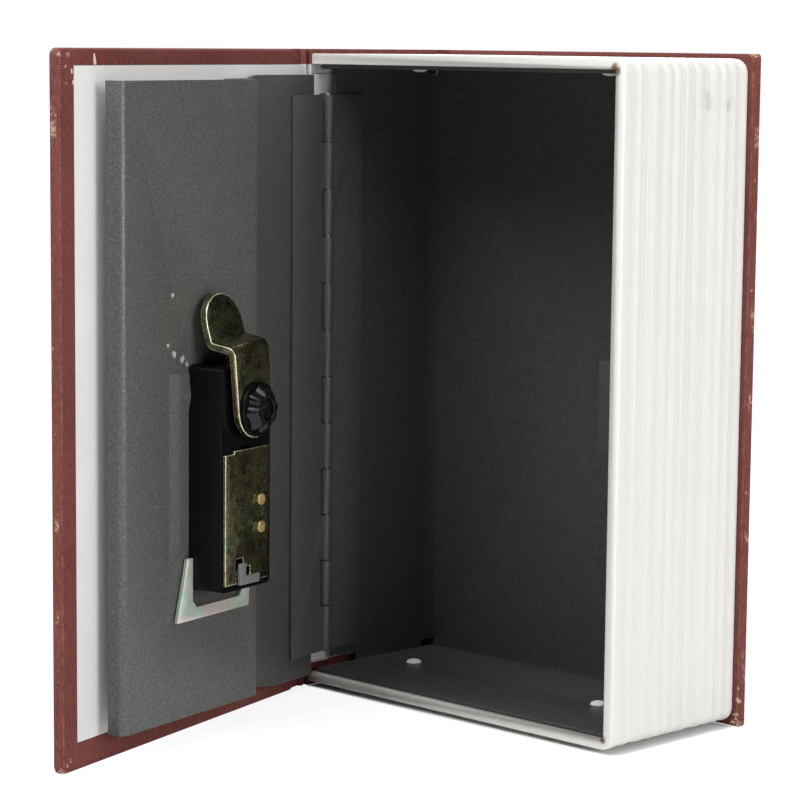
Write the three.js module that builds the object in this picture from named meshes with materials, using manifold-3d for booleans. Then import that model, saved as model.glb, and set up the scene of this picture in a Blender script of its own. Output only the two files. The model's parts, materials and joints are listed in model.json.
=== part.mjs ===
import * as THREE from 'three';
import { mergeVertices } from 'three/addons/utils/BufferGeometryUtils.js';
import Module from 'manifold-3d';

// A book that opens on a small steel safe. Millimetres, +Z up, standing on its lower cover edges.
// The front cover and the steel door are both drawn open. Inside the book group, x runs from the
// spine to the fore-edge, y from the front face of the page block to the back cover.

// Book
const book_height = 180;
const cover_thickness = 3;
const cloth = 0.4;
const cloth_bend = 0.2;
const lay_gap = 0.2;
const square_height = 1.25;
const square_fore = 2.2;
const block_width = 113.8;
const block_depth = 49.6;
const spine_gap = 0.4;
const joint_radius = 1.2;
const joint_web = 5;
const groove_depth = 1;
const groove_slope = 1.5;
const hem_start = 0.5;
const turn_in_fore = 6.5;
const turn_in_top = 4.1;
const turn_in_bottom = 6.9;
const liner_margin = 6.7;
const cover_open = 73.6;

// Page block frame
const rim = 2.85;
const block_corner = 4;
const page_waves = 10;
const wave_depth = 0.3;
const wave_drift = 0.9;
const bead = 3.2;
const bead_round = 0.6;
const drift_turns = 2.3;
const corner_steps = 5;
const bead_steps = 3;
const wave_steps = 6;
const box_clearance = 0.1;

// Steel box
const sheet = 1;
const box_front = 1.5;
const box_left = 2.6;
const box_back_gap = 0.3;
const box_corner = 1.4;
const corner_notch = { deep: 5, tall: 7 };
const floor_slot = { deep: 15, tall: 2.8 };
const relief_slot = { deep: 5.5, tall: 2.4 };
const peg = { head: 2.3, rise: 1, shank: 1.5, hole: 1.7, into: 1.8 };
const peg_crown = [[0.55, 0.86], [0.9, 0.45]];
const peg_places = [[15.4, 27], [86.6, 26]];

// Hinge
const knuckles = 12;
const knuckle_gap = 0.3;
const hinge_bottom = 10.6;
const hinge_top_gap = 12.5;
const barrel_radius = 1.6;
const bore_radius = 0.95;
const pin_radius = 0.75;
const pin_overhang = 0.3;
const leaf = 0.7;
const box_leaf_width = 14.5;
const door_leaf_width = 16.5;
const leaf_notch = 0.6;
const weld_gap = 0.2;
const plate_from_axis = 1;

// Door
const door_open = 77.6;
const door_gap = 0.3;
const plate_start = 5.5;
const plate_width = 46.9;
const plate_bottom = 4.4;
const plate_top = 173;
const plate_relief_start = 23.5;
const upper_tab = 32.6;
const tab_fall = 3;
const face_margin = 7.9;
const face_set_in = 11;
const door_width = 105.1;
const edge_return = 5;
const bend = 0.8;

// Lock, placed by its cam pivot on the door
const pivot_across = 66.8;
const pivot_height = 88.4;
const lock = { width: 21.5, below: 47.2, above: 11.1, behind: 10.2, corner: 1.4, lap: 0.5 };
const flange = { margin: 2.4, thick: 2.7, corner: 3 };
const fit_gap = 0.3;
const spindle_radius = 4;
const spindle_square = 5.4;
const spindle_thread = 2.5;
const spindle_shoulder = 1.1;
const bore_clearance = 0.3;
const chamber = { side: 2.6, top: 11.9, bottom: 43.4, floor: 3.3 };
const dial = { gap: 0.15, width: 6.2, pitch: 9.5, lowest: 37.2, flutes: 10, flute: 0.45, bore: 5.1 };
const dial_set_back = 5.2;
const sleeve = { radius: 4.8, bore: 1.8, gate: 1.6 };
const axle_radius = 1.5;
const axle_reach = 2.2;
const knob = { radius: 7.5, skirt: 2.2, reach: 5.2, grip: 4.2, round: 0.6, inset: 0.8, grip_round: 1.6, socket: 3 };
const backplate = {
  width: 19, thick: 0.8, top: 11.3, bottom: 45.2, shift: 0.9, step: 3.9,
  window: 6.2, window_rise: 4.8, window_start: -0.4, window_up: 1.7,
};
const rivet = { radius: 1, head: 1.5, rise: 0.6, root: 0.05, across: -4.5, places: [24.2, 31.4] };
const clip = {
  thick: 1.2, arm: 2.2, foot: 6.7, near_foot: 2.5, drop: 7.6, rise: 8.6, bar: 3.1, cut: 1.8, knee: 0.45,
};
const cam = {
  thick: 1.8, width: 15, reach: 29.6, ramp: 16.2, ramp_run: 1.2, drop: 7.1, slope: 2.9, lean: 6.5, bend: 0.7,
};
const washer = { radius: 7.1, thick: 0.8 };
const nut = { radius: 6.4, lobes: 8, lobe: 0.5, thick: 2.4, recess: 0.7, taper: 0.3 };
const lever = {
  thick: 0.9, stem: 2.5, stem_rise: 3.4, foot: 8.4, foot_drop: 2.2, pin: 1, inset: 0.8, up: 1.9, lap: 0.2, seat: 0.3,
};
const bar = { wide: 1.9, thick: 2, finger: 1.5, finger_gap: 0.7 };
const spring = { thick: 0.5, wide: 2.2, bump: 0.9 };
const strike = { length: 13.8, base: 9, low: 76.4, high: 100.4, bend: 0.4 };

// How far a cutting body runs past the surface that it opens
const past = 1;
const skin = 0.01;

// Places that follow from the sizes above
const cover_half = cover_thickness / 2;
const block_bottom = square_height;
const block_top = book_height - square_height;
const cover_fore = block_width + square_fore;
const spine_outer = -spine_gap - cover_thickness;
const joint_x = spine_outer + joint_radius;
const joint_y = -lay_gap - cover_half;
const spine_front = joint_y + joint_radius + 2 * lay_gap;
const back_inner = block_depth + lay_gap;
const back_joint_y = back_inner + cover_half;
const frame_inner = block_width - rim;
const frame_floor = block_bottom + rim;
const frame_ceiling = block_top - rim;
const box_right = frame_inner - box_clearance;
const box_bottom = frame_floor + box_clearance;
const box_top = frame_ceiling - box_clearance;
const box_back = block_depth - box_back_gap;
const floor_z = box_bottom + sheet;
const ceiling_z = box_top - sheet;
const inner_right = box_right - sheet;
const knuckle_pitch = (book_height - hinge_bottom - hinge_top_gap) / knuckles;
const hinge_x = box_left + barrel_radius;
const hinge_y = door_gap + sheet + plate_from_axis;
const plate_outer = -plate_from_axis - sheet;
const face_outer = plate_outer + face_set_in;
const face_inner = face_outer + sheet;
const lock_rear = face_inner + lock.behind;
const lock_front = face_outer - fit_gap - flange.thick;
const dial_centre = lock_front + dial_set_back;
const dial_radius = lock.width / 2 - chamber.side - dial.gap;
const cam_near = lock_rear + spindle_shoulder + fit_gap;
const washer_near = cam_near + cam.thick + fit_gap;
const nut_near = washer_near + washer.thick + fit_gap;

const wasm = await Module();
wasm.setup();

const finish = {
  bookcloth: new THREE.MeshStandardMaterial({ color: 0x7a3b36, roughness: 0.75, metalness: 0 }),
  board: new THREE.MeshStandardMaterial({ color: 0x9a8f80, roughness: 0.9, metalness: 0 }),
  endpaper: new THREE.MeshStandardMaterial({ color: 0xd8d6d4, roughness: 0.8, metalness: 0 }),
  white_plastic: new THREE.MeshStandardMaterial({ color: 0xecebe8, roughness: 0.45, metalness: 0 }),
  painted_steel: new THREE.MeshStandardMaterial({ color: 0x454745, roughness: 0.55, metalness: 0.3 }),
  bare_steel: new THREE.MeshStandardMaterial({ color: 0xa8a9a6, roughness: 0.35, metalness: 1 }),
  black_plastic: new THREE.MeshStandardMaterial({ color: 0x151515, roughness: 0.35, metalness: 0 }),
  yellow_zinc: new THREE.MeshStandardMaterial({ color: 0xb09a5a, roughness: 0.35, metalness: 1 }),
  brass: new THREE.MeshStandardMaterial({ color: 0xc9a659, roughness: 0.3, metalness: 1 }),
  grey_plastic: new THREE.MeshStandardMaterial({ color: 0xb9bbb8, roughness: 0.5, metalness: 0 }),
};

// Solids: a closed three.js geometry becomes a solid that can be joined and cut
function solid(geometry) {
  const bare = geometry.clone();
  bare.deleteAttribute('normal');
  bare.deleteAttribute('uv');
  const merged = mergeVertices(bare, 1e-4);
  return new wasm.Manifold(new wasm.Mesh({
    numProp: 3,
    vertProperties: new Float32Array(merged.attributes.position.array),
    triVerts: new Uint32Array(merged.index.array),
  }));
}

function surface(body) {
  const mesh = body.getMesh();
  const geometry = new THREE.BufferGeometry();
  geometry.setAttribute('position', new THREE.BufferAttribute(mesh.vertProperties, 3));
  geometry.setIndex(new THREE.BufferAttribute(mesh.triVerts, 1));
  geometry.computeVertexNormals();
  return geometry;
}

function piece(name, body, material) {
  const mesh = new THREE.Mesh(surface(body), material);
  mesh.name = name;
  return mesh;
}

function block([x0, x1], [y0, y1], [z0, z1]) {
  const geometry = new THREE.BoxGeometry(x1 - x0, y1 - y0, z1 - z0);
  geometry.translate((x0 + x1) / 2, (y0 + y1) / 2, (z0 + z1) / 2);
  return solid(geometry);
}

const along = {
  x: new THREE.Matrix4().makeBasis(
    new THREE.Vector3(0, 1, 0), new THREE.Vector3(0, 0, 1), new THREE.Vector3(1, 0, 0)),
  y: new THREE.Matrix4().makeBasis(
    new THREE.Vector3(0, 0, 1), new THREE.Vector3(1, 0, 0), new THREE.Vector3(0, 1, 0)),
  z: new THREE.Matrix4(),
};

// An outline pushed from one place to another along an axis. The outline's own two directions are
// y and z for a push along x, z and x along y, and x and y along z.
function prism(outline, axis, from, to) {
  const geometry = new THREE.ExtrudeGeometry(outline, { depth: to - from, bevelEnabled: false, curveSegments: 5 });
  geometry.translate(0, 0, from);
  geometry.applyMatrix4(along[axis]);
  return solid(geometry);
}

function rod(radius, axis, from, to, centre, sides = 24) {
  const outline = new THREE.Shape();
  for (let i = 0; i < sides; i += 1) {
    const turn = (i / sides) * 2 * Math.PI;
    const point = [centre[0] + radius * Math.cos(turn), centre[1] + radius * Math.sin(turn)];
    if (i === 0) outline.moveTo(...point);
    else outline.lineTo(...point);
  }
  return prism(outline, axis, from, to);
}

function rounded([x0, x1], [y0, y1], radius) {
  const outline = new THREE.Shape();
  const quarter = Math.PI / 2;
  outline.absarc(x1 - radius, y1 - radius, radius, 0, quarter);
  outline.absarc(x0 + radius, y1 - radius, radius, quarter, 2 * quarter);
  outline.absarc(x0 + radius, y0 + radius, radius, 2 * quarter, 3 * quarter);
  outline.absarc(x1 - radius, y0 + radius, radius, 3 * quarter, 4 * quarter);
  return outline;
}

// The section of a folded sheet: a centre line with rounded bends, given its thickness
function folded(corners, thickness, inner_radius) {
  const line = corners.map(([x, y]) => new THREE.Vector2(x, y));
  const stations = [];
  const side = (direction) => new THREE.Vector2(-direction.y, direction.x);
  line.forEach((corner, i) => {
    const before = i > 0 ? corner.clone().sub(line[i - 1]).normalize() : null;
    const after = i < line.length - 1 ? line[i + 1].clone().sub(corner).normalize() : null;
    if (!before || !after) {
      stations.push([corner, side(before || after)]);
      return;
    }
    const turn = Math.atan2(before.cross(after), before.dot(after));
    const radius = inner_radius + thickness / 2;
    const start = corner.clone().addScaledVector(before, -radius * Math.tan(Math.abs(turn) / 2));
    const centre = start.clone().addScaledVector(side(before), Math.sign(turn) * radius);
    const steps = 4;
    for (let k = 0; k <= steps; k += 1) {
      const direction = before.clone().rotateAround(new THREE.Vector2(), (turn * k) / steps);
      const point = centre.clone().addScaledVector(side(direction), -Math.sign(turn) * radius);
      stations.push([point, side(direction)]);
    }
  });
  const left = stations.map(([point, out]) => point.clone().addScaledVector(out, thickness / 2));
  const right = stations.map(([point, out]) => point.clone().addScaledVector(out, -thickness / 2));
  return new THREE.Shape([...right, ...left.reverse()]);
}

// Book cover: a board in its cloth, which turns in round three edges, with paper pasted over
function cover_cloth(start, end, inner_side) {
  const mid = cover_half - cloth / 2;
  const outer = -inner_side * mid;
  const sunk = outer + inner_side * groove_depth;
  const web = start + joint_web;
  const path = [
    [start, sunk], [web - groove_slope, sunk], [web, outer], [end - cloth / 2, outer],
    [end - cloth / 2, -outer], [end - turn_in_fore, -outer],
  ];
  const half = cover_half;
  const inside = [Math.min(inner_side * half, inner_side * (half - cloth)),
    Math.max(inner_side * half, inner_side * (half - cloth))];
  const span = [web + hem_start, end - cloth / 2];
  return prism(folded(path, cloth, cloth_bend), 'z', 0, book_height)
    .add(block(span, [-half, half], [0, cloth]))
    .add(block(span, [-half, half], [book_height - cloth, book_height]))
    .add(block(span, inside, [0, turn_in_bottom]))
    .add(block(span, inside, [book_height - turn_in_top, book_height]));
}

function cover_board(start, end) {
  const depth = cover_half - cloth - lay_gap;
  const edge = cloth + lay_gap;
  return block([start + joint_web + edge, end - edge], [-depth, depth], [edge, book_height - edge]);
}

function cover_paper(start, end, inner_side) {
  const depths = [inner_side * (cover_half - cloth), inner_side * cover_half].sort((a, b) => a - b);
  const heights = [turn_in_bottom + lay_gap, book_height - turn_in_top - lay_gap];
  return block([start, end - turn_in_fore - lay_gap], depths, heights);
}

// Spine: a board in its cloth, which turns round its front edge, with the rear joint's fold
function spine_cloth() {
  const x = [spine_outer, -spine_gap];
  const y = [spine_front, back_inner];
  const cavity = block([spine_outer + cloth, -spine_gap - cloth], [y[0] + cloth, y[1] + past],
    [cloth, book_height - cloth]);
  const window = block([spine_outer + cloth, past], [y[0] + cloth, y[1] + past],
    [liner_margin, book_height - liner_margin]);
  const back_fold = rod(joint_radius, 'z', 0, book_height, [joint_x, back_joint_y]);
  const back_sheet = block([spine_outer, spine_outer + cloth], [y[1] - cover_half, back_joint_y], [0, book_height]);
  return block(x, y, [0, book_height]).subtract(cavity).subtract(window).add(back_sheet).add(back_fold);
}

function spine_board() {
  const edge = cloth + lay_gap;
  return block([spine_outer + edge, -spine_gap - edge],
    [spine_front + edge, back_inner - lay_gap], [edge, book_height - edge]);
}

function spine_liner() {
  return block([-spine_gap - cloth, -spine_gap], [spine_front + cloth + lay_gap, back_inner],
    [liner_margin + lay_gap, book_height - liner_margin - lay_gap]);
}

// Page block: a moulded three-sided frame whose outside is waved like a stack of leaves
function leaf_wave(y) {
  const tail = Math.min(1, (y - bead) / bead_round);
  const drift = wave_drift * Math.sin((drift_turns * 2 * Math.PI * y) / block_depth);
  const phase = (2 * Math.PI * page_waves * (y - bead + drift)) / (block_depth - bead);
  return wave_depth * tail * (0.5 - 0.5 * Math.cos(phase));
}

function bead_fall(y, edge) {
  const into = Math.max(0, bead_round - Math.abs(y - edge));
  return bead_round - Math.sqrt(bead_round ** 2 - into ** 2);
}

function frame_outline(sunk) {
  const points = [[0, block_bottom + sunk]];
  const turn_right = (centre, from, to) => {
    for (let k = 0; k <= corner_steps; k += 1) {
      const angle = from + ((to - from) * k) / corner_steps;
      const radius = block_corner - sunk;
      points.push([centre[0] + radius * Math.cos(angle), centre[1] + radius * Math.sin(angle)]);
    }
  };
  turn_right([block_width - block_corner, block_bottom + block_corner], -Math.PI / 2, 0);
  turn_right([block_width - block_corner, block_top - block_corner], 0, Math.PI / 2);
  points.push([0, block_top - sunk], [0, frame_ceiling], [frame_inner, frame_ceiling]);
  points.push([frame_inner, frame_floor], [0, frame_floor]);
  return points;
}

function frame_stations() {
  const stations = [];
  for (let k = 0; k <= bead_steps; k += 1) {
    const y = (bead_round * k) / bead_steps;
    stations.push([y, bead_fall(y, 0)]);
  }
  const steps = page_waves * wave_steps;
  for (let k = 0; k <= steps; k += 1) {
    const y = bead + ((block_depth - bead) * k) / steps;
    stations.push([y, leaf_wave(y)]);
  }
  return stations;
}

function page_frame() {
  const rings = frame_stations().map(([y, sunk]) => frame_outline(sunk).map(([x, z]) => [x, y, z]));
  const count = rings[0].length;
  const points = rings.flat(2);
  const faces = [];
  for (let r = 0; r < rings.length - 1; r += 1) {
    for (let i = 0; i < count; i += 1) {
      const next = (i + 1) % count;
      const [a, b] = [r * count + i, r * count + next];
      faces.push(a, b + count, b, a, a + count, b + count);
    }
  }
  const flat = frame_outline(0).map(([x, z]) => new THREE.Vector2(x, z));
  const last = (rings.length - 1) * count;
  THREE.ShapeUtils.triangulateShape(flat, []).forEach(([a, b, c]) => {
    faces.push(a, b, c, last + a, last + c, last + b);
  });
  const geometry = new THREE.BufferGeometry();
  geometry.setAttribute('position', new THREE.BufferAttribute(new Float32Array(points), 3));
  geometry.setIndex(faces);
  return solid(geometry);
}

function at_pegs(make) {
  return peg_places.flatMap(([x, y]) => [make(x, y, floor_z, 1), make(x, y, ceiling_z, -1)]);
}

function peg_hole(x, y, z, up) {
  const ends = [z + up, z - up * (sheet + box_clearance + peg.into)].sort((a, b) => a - b);
  return rod(peg.hole, 'z', ends[0], ends[1], [x, y], 16);
}

function peg_body(x, y, z, up) {
  const depth = sheet + box_clearance + peg.into - lay_gap;
  const crown = peg_crown.map(([out, up_part]) => [peg.head * out, peg.rise * up_part]);
  const profile = [[0, peg.rise], ...crown, [peg.head, 0], [peg.shank, 0], [peg.shank, -depth], [0, -depth]];
  const geometry = new THREE.LatheGeometry(profile.map(([r, h]) => new THREE.Vector2(r, -h)), 16);
  geometry.rotateX(up > 0 ? -Math.PI / 2 : Math.PI / 2);
  geometry.translate(x, y, z);
  return solid(geometry);
}

function page_block_frame() {
  return at_pegs(peg_hole).reduce((body, hole) => body.subtract(hole), page_frame());
}

// Steel box: folded sheet, open in front, notched beside the hinge
function steel_box() {
  const outer = prism(rounded([box_bottom, box_top], [box_left - sheet, box_right], box_corner),
    'y', box_front, box_back);
  const inner = prism(rounded([floor_z, ceiling_z], [box_left, inner_right], box_corner - sheet),
    'y', box_front - past, box_back - sheet);
  let body = outer.subtract(inner);
  const wall = [box_left - sheet - past, box_left + skin];
  const low = floor_z;
  const high = ceiling_z;
  const beside_hinge = [box_front - past, box_front + corner_notch.deep];
  body = body.subtract(block(wall, beside_hinge, [low, low + corner_notch.tall]));
  body = body.subtract(block(wall, beside_hinge, [high - corner_notch.tall, high]));
  body = body.subtract(block(wall, [box_front - past, box_front + floor_slot.deep], [low, low + floor_slot.tall]));
  const behind = [box_back - sheet - relief_slot.deep, box_back - sheet];
  [wall, [inner_right - skin, box_right + past]].forEach((across) => {
    body = body.subtract(block(across, behind, [low, low + relief_slot.tall]));
    body = body.subtract(block(across, behind, [high - relief_slot.tall, high]));
  });
  return at_pegs(peg_hole).reduce((rest, hole) => rest.subtract(hole), body);
}

// Strike: a folded tab on the right wall that the cam turns behind
function strike_tab() {
  const reach = hinge_y + face_inner + 2 * fit_gap;
  const corners = [
    [inner_right - strike.length, reach + sheet / 2], [inner_right - sheet / 2, reach + sheet / 2],
    [inner_right - sheet / 2, reach + sheet / 2 + strike.base],
  ];
  return prism(folded(corners, sheet, strike.bend), 'z', strike.low, strike.high);
}

// Piano hinge: two leaves with every second knuckle each, on one pin
function knuckle_range(i) {
  const low = hinge_bottom + i * knuckle_pitch;
  return [low + knuckle_gap / 2, low + knuckle_pitch - knuckle_gap / 2];
}

function hinge_leaf(along_leaf, across_leaf, first) {
  const length = [hinge_bottom, hinge_bottom + knuckles * knuckle_pitch];
  let body = across_leaf(length, 0);
  for (let i = 0; i < knuckles; i += 1) {
    const [low, high] = knuckle_range(i);
    if (i % 2 === first) body = body.add(rod(barrel_radius, 'z', low, high, [0, 0], 20));
    else body = body.subtract(along_leaf([low - knuckle_gap, high + knuckle_gap]));
  }
  return body.subtract(rod(bore_radius, 'z', length[0] - past, length[1] + past, [0, 0], 16));
}

function hinge_box_leaf() {
  const x = [-barrel_radius, leaf - barrel_radius];
  const clear = barrel_radius + leaf_notch;
  return hinge_leaf(
    (z) => block([x[0] - past, x[1] + past], [-past, clear], z),
    (z) => block(x, [0, box_leaf_width], z), 1);
}

function hinge_door_leaf() {
  const y = [weld_gap - plate_from_axis, weld_gap + leaf - plate_from_axis];
  const clear = barrel_radius + leaf_notch;
  return hinge_leaf(
    (z) => block([-past, clear], [y[0] - past, y[1] + past], z),
    (z) => block([0, door_leaf_width], y, z), 0);
}

// What is cut off the sheet above or below the door's face, sloping along the plate up to the step
function sloped_cut(start, end, edge, level, beyond) {
  const outline = new THREE.Shape();
  outline.moveTo(edge + beyond, start);
  outline.lineTo(edge, start);
  outline.lineTo(level, end);
  outline.lineTo(level, door_width + past);
  outline.lineTo(edge + beyond, door_width + past);
  return prism(outline, 'y', plate_outer - past, face_inner + past);
}

// Door: one folded sheet, a plate by the hinge and a face set in to make room for the dials
function door_panel() {
  const middle = plate_outer + sheet / 2;
  const face = face_outer + sheet / 2;
  const edge = door_width - sheet / 2;
  const corners = [
    [plate_start, middle], [plate_width, middle], [plate_width, face], [edge, face],
    [edge, face_inner - edge_return],
  ];
  const strip = prism(folded(corners, sheet, bend), 'z', plate_bottom, plate_top);
  return strip
    .subtract(sloped_cut(upper_tab, upper_tab + tab_fall, plate_top, book_height - face_margin, past))
    .subtract(sloped_cut(plate_relief_start, plate_width, plate_bottom, face_margin, -past))
    .subtract(prism(lock_outline(fit_gap), 'y', face_outer - past, face_inner + past));
}

// Lock housing, seen from the back of the door: z first, then across
function lock_outline(grow) {
  return rounded(
    [pivot_height - lock.below - grow, pivot_height + lock.above + grow],
    [pivot_across - lock.width / 2 - grow, pivot_across + lock.width / 2 + grow], lock.corner + grow);
}

function dial_height(i) {
  return pivot_height - dial.lowest + i * dial.pitch;
}

function lock_body() {
  const around = flange.margin;
  const front = rounded(
    [pivot_height - lock.below - around, pivot_height + lock.above + around],
    [pivot_across - lock.width / 2 - around, pivot_across + lock.width / 2 + around], flange.corner);
  const room = [pivot_across - lock.width / 2 + chamber.side, pivot_across + lock.width / 2 - chamber.side];
  const room_z = [pivot_height - chamber.bottom, pivot_height - chamber.top];
  let body = prism(front, 'y', lock_front, lock_front + flange.thick)
    .add(prism(lock_outline(0), 'y', lock_front + flange.thick - lock.lap, lock_rear));
  body = body.subtract(block(room, [lock_front + chamber.floor, lock_rear + past], room_z));
  for (let i = 0; i < 3; i += 1) {
    const half = dial.width / 2 + fit_gap;
    body = body.subtract(block(room, [lock_front - past, lock_front + chamber.floor + past],
      [dial_height(i) - half, dial_height(i) + half]));
  }
  const seat = axle_radius + fit_gap;
  const slot_z = [room_z[0] - axle_reach, room_z[1] + axle_reach];
  body = body.subtract(block([pivot_across - seat, pivot_across + seat], [dial_centre, lock_rear + past], slot_z));
  body = body.subtract(rod(seat, 'z', slot_z[0], slot_z[1], [pivot_across, dial_centre], 16));
  return body.subtract(rod(spindle_radius + bore_clearance, 'y', lock_front - past, lock_rear + past,
    [pivot_height, pivot_across]));
}

function lock_backplate() {
  const middle = pivot_across + backplate.shift;
  const x = [middle - backplate.width / 2, middle + backplate.width / 2];
  const z = [pivot_height - backplate.bottom, pivot_height - backplate.top];
  const y = [lock_rear + fit_gap, lock_rear + fit_gap + backplate.thick];
  const step = x[1] - backplate.step;
  const window_left = pivot_across + backplate.window_start;
  const window_low = z[0] + backplate.window_up;
  const window_high = window_low + backplate.window_rise;
  const through = [y[0] - past, y[1] + past];
  const window = block([window_left, window_left + backplate.window], through, [window_low, window_high])
    .subtract(block([window_left - past, window_left + backplate.window / 2], [y[0] - 2 * past, y[1] + 2 * past],
      [(window_low + window_high) / 2, window_high + past]));
  let body = block(x, y, z).add(block([x[0], step], y, [z[1] - past, z[1] + backplate.thick])).subtract(window);
  rivet.places.forEach((down) => {
    body = body.subtract(rod(rivet.radius + fit_gap, 'y', y[0] - past, y[1] + past,
      [pivot_height - down, pivot_across + rivet.across], 12));
  });
  return body;
}

function backplate_rivet(down) {
  const base = lock_rear + fit_gap + backplate.thick + fit_gap;
  const centre = [pivot_height - down, pivot_across + rivet.across];
  const shank = rod(rivet.radius, 'y', lock_rear + rivet.root, base + rivet.rise / 2, centre, 12);
  const head = rod(rivet.head, 'y', base, base + rivet.rise, centre, 12);
  return shank.add(head);
}

// Retaining clip: a flat fork pushed up round the housing, behind the door's face
function retaining_clip() {
  const y = [face_inner + fit_gap, face_inner + fit_gap + clip.thick];
  const half = lock.width / 2 + fit_gap;
  const bottom = pivot_height - lock.below;
  const outline = new THREE.Shape();
  const point = (z, x) => [z, pivot_across + x];
  outline.moveTo(...point(bottom - clip.drop, -half - clip.near_foot));
  outline.lineTo(...point(bottom - clip.drop, half + clip.foot));
  outline.lineTo(...point(bottom + clip.rise * clip.knee, half + clip.arm + clip.thick));
  outline.lineTo(...point(bottom + clip.rise, half + clip.arm));
  outline.lineTo(...point(bottom + clip.rise, half));
  outline.lineTo(...point(bottom - clip.drop + clip.bar + clip.cut, half));
  outline.lineTo(...point(bottom - clip.drop + clip.bar, half - clip.cut));
  outline.lineTo(...point(bottom - clip.drop + clip.bar, clip.cut - half));
  outline.lineTo(...point(bottom - clip.drop + clip.bar + clip.cut, -half));
  outline.lineTo(...point(bottom + clip.rise, -half));
  outline.lineTo(...point(bottom + clip.rise, -half - clip.arm));
  outline.lineTo(...point(bottom + clip.rise * clip.knee, -half - clip.arm - clip.thick));
  return prism(outline, 'y', y[0], y[1]);
}

// Dial with a fluted rim, its code sleeve with the gate, and the axle that carries all three
function dial_ring(i) {
  const outline = new THREE.Shape();
  const steps = dial.flutes * 6;
  for (let k = 0; k < steps; k += 1) {
    const turn = (k / steps) * 2 * Math.PI;
    const radius = dial_radius - dial.flute * (0.5 + 0.5 * Math.cos(dial.flutes * turn)) ** 4;
    const point = [pivot_across + radius * Math.cos(turn), dial_centre + radius * Math.sin(turn)];
    if (k === 0) outline.moveTo(...point);
    else outline.lineTo(...point);
  }
  const z = [dial_height(i) - dial.width / 2, dial_height(i) + dial.width / 2];
  return prism(outline, 'z', z[0], z[1])
    .subtract(rod(dial.bore, 'z', z[0] - past, z[1] + past, [pivot_across, dial_centre], 20));
}

function code_sleeve(i) {
  const z = [dial_height(i) - dial.width / 2, dial_height(i) + dial.width / 2];
  const gate = block([pivot_across + sleeve.radius - sleeve.gate, pivot_across + sleeve.radius + past],
    [dial_centre - sleeve.gate / 2, dial_centre + sleeve.gate / 2], [z[0] - past, z[1] + past]);
  return rod(sleeve.radius, 'z', z[0], z[1], [pivot_across, dial_centre], 20)
    .subtract(rod(sleeve.bore, 'z', z[0] - past, z[1] + past, [pivot_across, dial_centre], 12)).subtract(gate);
}

function dial_axle() {
  const z = [pivot_height - chamber.bottom - axle_reach + lay_gap, pivot_height - chamber.top + axle_reach - lay_gap];
  return rod(axle_radius, 'z', z[0], z[1], [pivot_across, dial_centre], 16);
}

// Locking bar with two fingers between the dials, and the leaf that clicks them into place
function between_dials(i) {
  return (dial_height(i) + dial_height(i + 1)) / 2;
}

function locking_bar() {
  const wall = pivot_across + lock.width / 2 - chamber.side - fit_gap;
  const x = [wall - bar.wide, wall];
  const y = [lock_rear - lay_gap - bar.thick, lock_rear - lay_gap];
  const z = [pivot_height - chamber.bottom + fit_gap, pivot_height - chamber.top - fit_gap];
  let body = block(x, y, z);
  for (let i = 0; i < 2; i += 1) {
    const half = bar.finger / 2;
    body = body.add(block([pivot_across + sleeve.radius + bar.finger_gap, wall], y,
      [between_dials(i) - half, between_dials(i) + half]));
  }
  return body;
}

function detent_spring() {
  const wall = pivot_across - lock.width / 2 + chamber.side + fit_gap;
  const y = [lock_rear - lay_gap - spring.wide, lock_rear - lay_gap];
  const z = [pivot_height - chamber.bottom + fit_gap, pivot_height - chamber.top - fit_gap];
  let body = block([wall, wall + spring.thick], y, z);
  for (let i = 0; i < 3; i += 1) {
    body = body.add(rod(spring.bump, 'y', y[0], y[1], [dial_height(i), wall + spring.thick], 10)
      .subtract(block([wall - spring.bump - past, wall + spring.thick / 2], [y[0] - past, y[1] + past], z)));
  }
  return body;
}

// Cam train: the knob in front turns the spindle, and the spindle turns the bent cam behind.
// These are drawn round the pivot with the cam pointing up.
function cam_spindle() {
  const front = lock_front - knob.socket;
  const shoulder = lock_rear + spindle_shoulder;
  return rod(spindle_radius, 'y', front, shoulder, [0, 0])
    .add(block([-spindle_square / 2, spindle_square / 2], [shoulder - past, washer_near + washer.thick / 2],
      [-spindle_square / 2, spindle_square / 2]))
    .add(rod(spindle_thread, 'y', washer_near, nut_near + nut.thick - nut.recess, [0, 0], 16));
}

function thumb_knob() {
  const near = lock_front - fit_gap;
  const skirt = near - knob.skirt;
  const tip = near - knob.reach;
  const profile = [[0, near], [knob.radius, near], [knob.radius, skirt + knob.round],
    [knob.radius - knob.round, skirt], [0, skirt]];
  const disc = new THREE.LatheGeometry(profile.map(([r, h]) => new THREE.Vector2(r, h)).reverse(), 28);
  const long = knob.radius - knob.inset;
  const grip = prism(rounded([-long, long], [-knob.grip / 2, knob.grip / 2], knob.grip_round),
    'y', tip, skirt + knob.round);
  const socket = rod(spindle_radius + bore_clearance, 'y', lock_front - knob.socket - fit_gap, near + past, [0, 0]);
  return solid(disc).add(grip).subtract(socket);
}

function cam_lever() {
  const middle = cam_near + cam.thick / 2;
  const low = middle - cam.drop;
  const path = [[-cam.width, middle], [cam.ramp, middle], [cam.ramp + cam.ramp_run, low],
    [cam.reach + past, low - cam.slope]];
  const strip = prism(folded(path.map(([z, y]) => [y, z]), cam.thick, cam.bend), 'x', -cam.width, cam.width);
  const half = cam.width / 2;
  const outline = new THREE.Shape();
  outline.absarc(0, 0, half, Math.PI / 2, (3 * Math.PI) / 2);
  outline.absarc(cam.reach - half, 0, half, -Math.PI / 2, Math.PI / 2);
  const hole = spindle_square / 2 + bore_clearance;
  return strip.intersect(prism(outline, 'y', low - 2 * cam.slope, cam_near + cam.thick + past))
    .subtract(block([-hole, hole], [cam_near - past, cam_near + cam.thick + past], [-hole, hole]));
}

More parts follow.
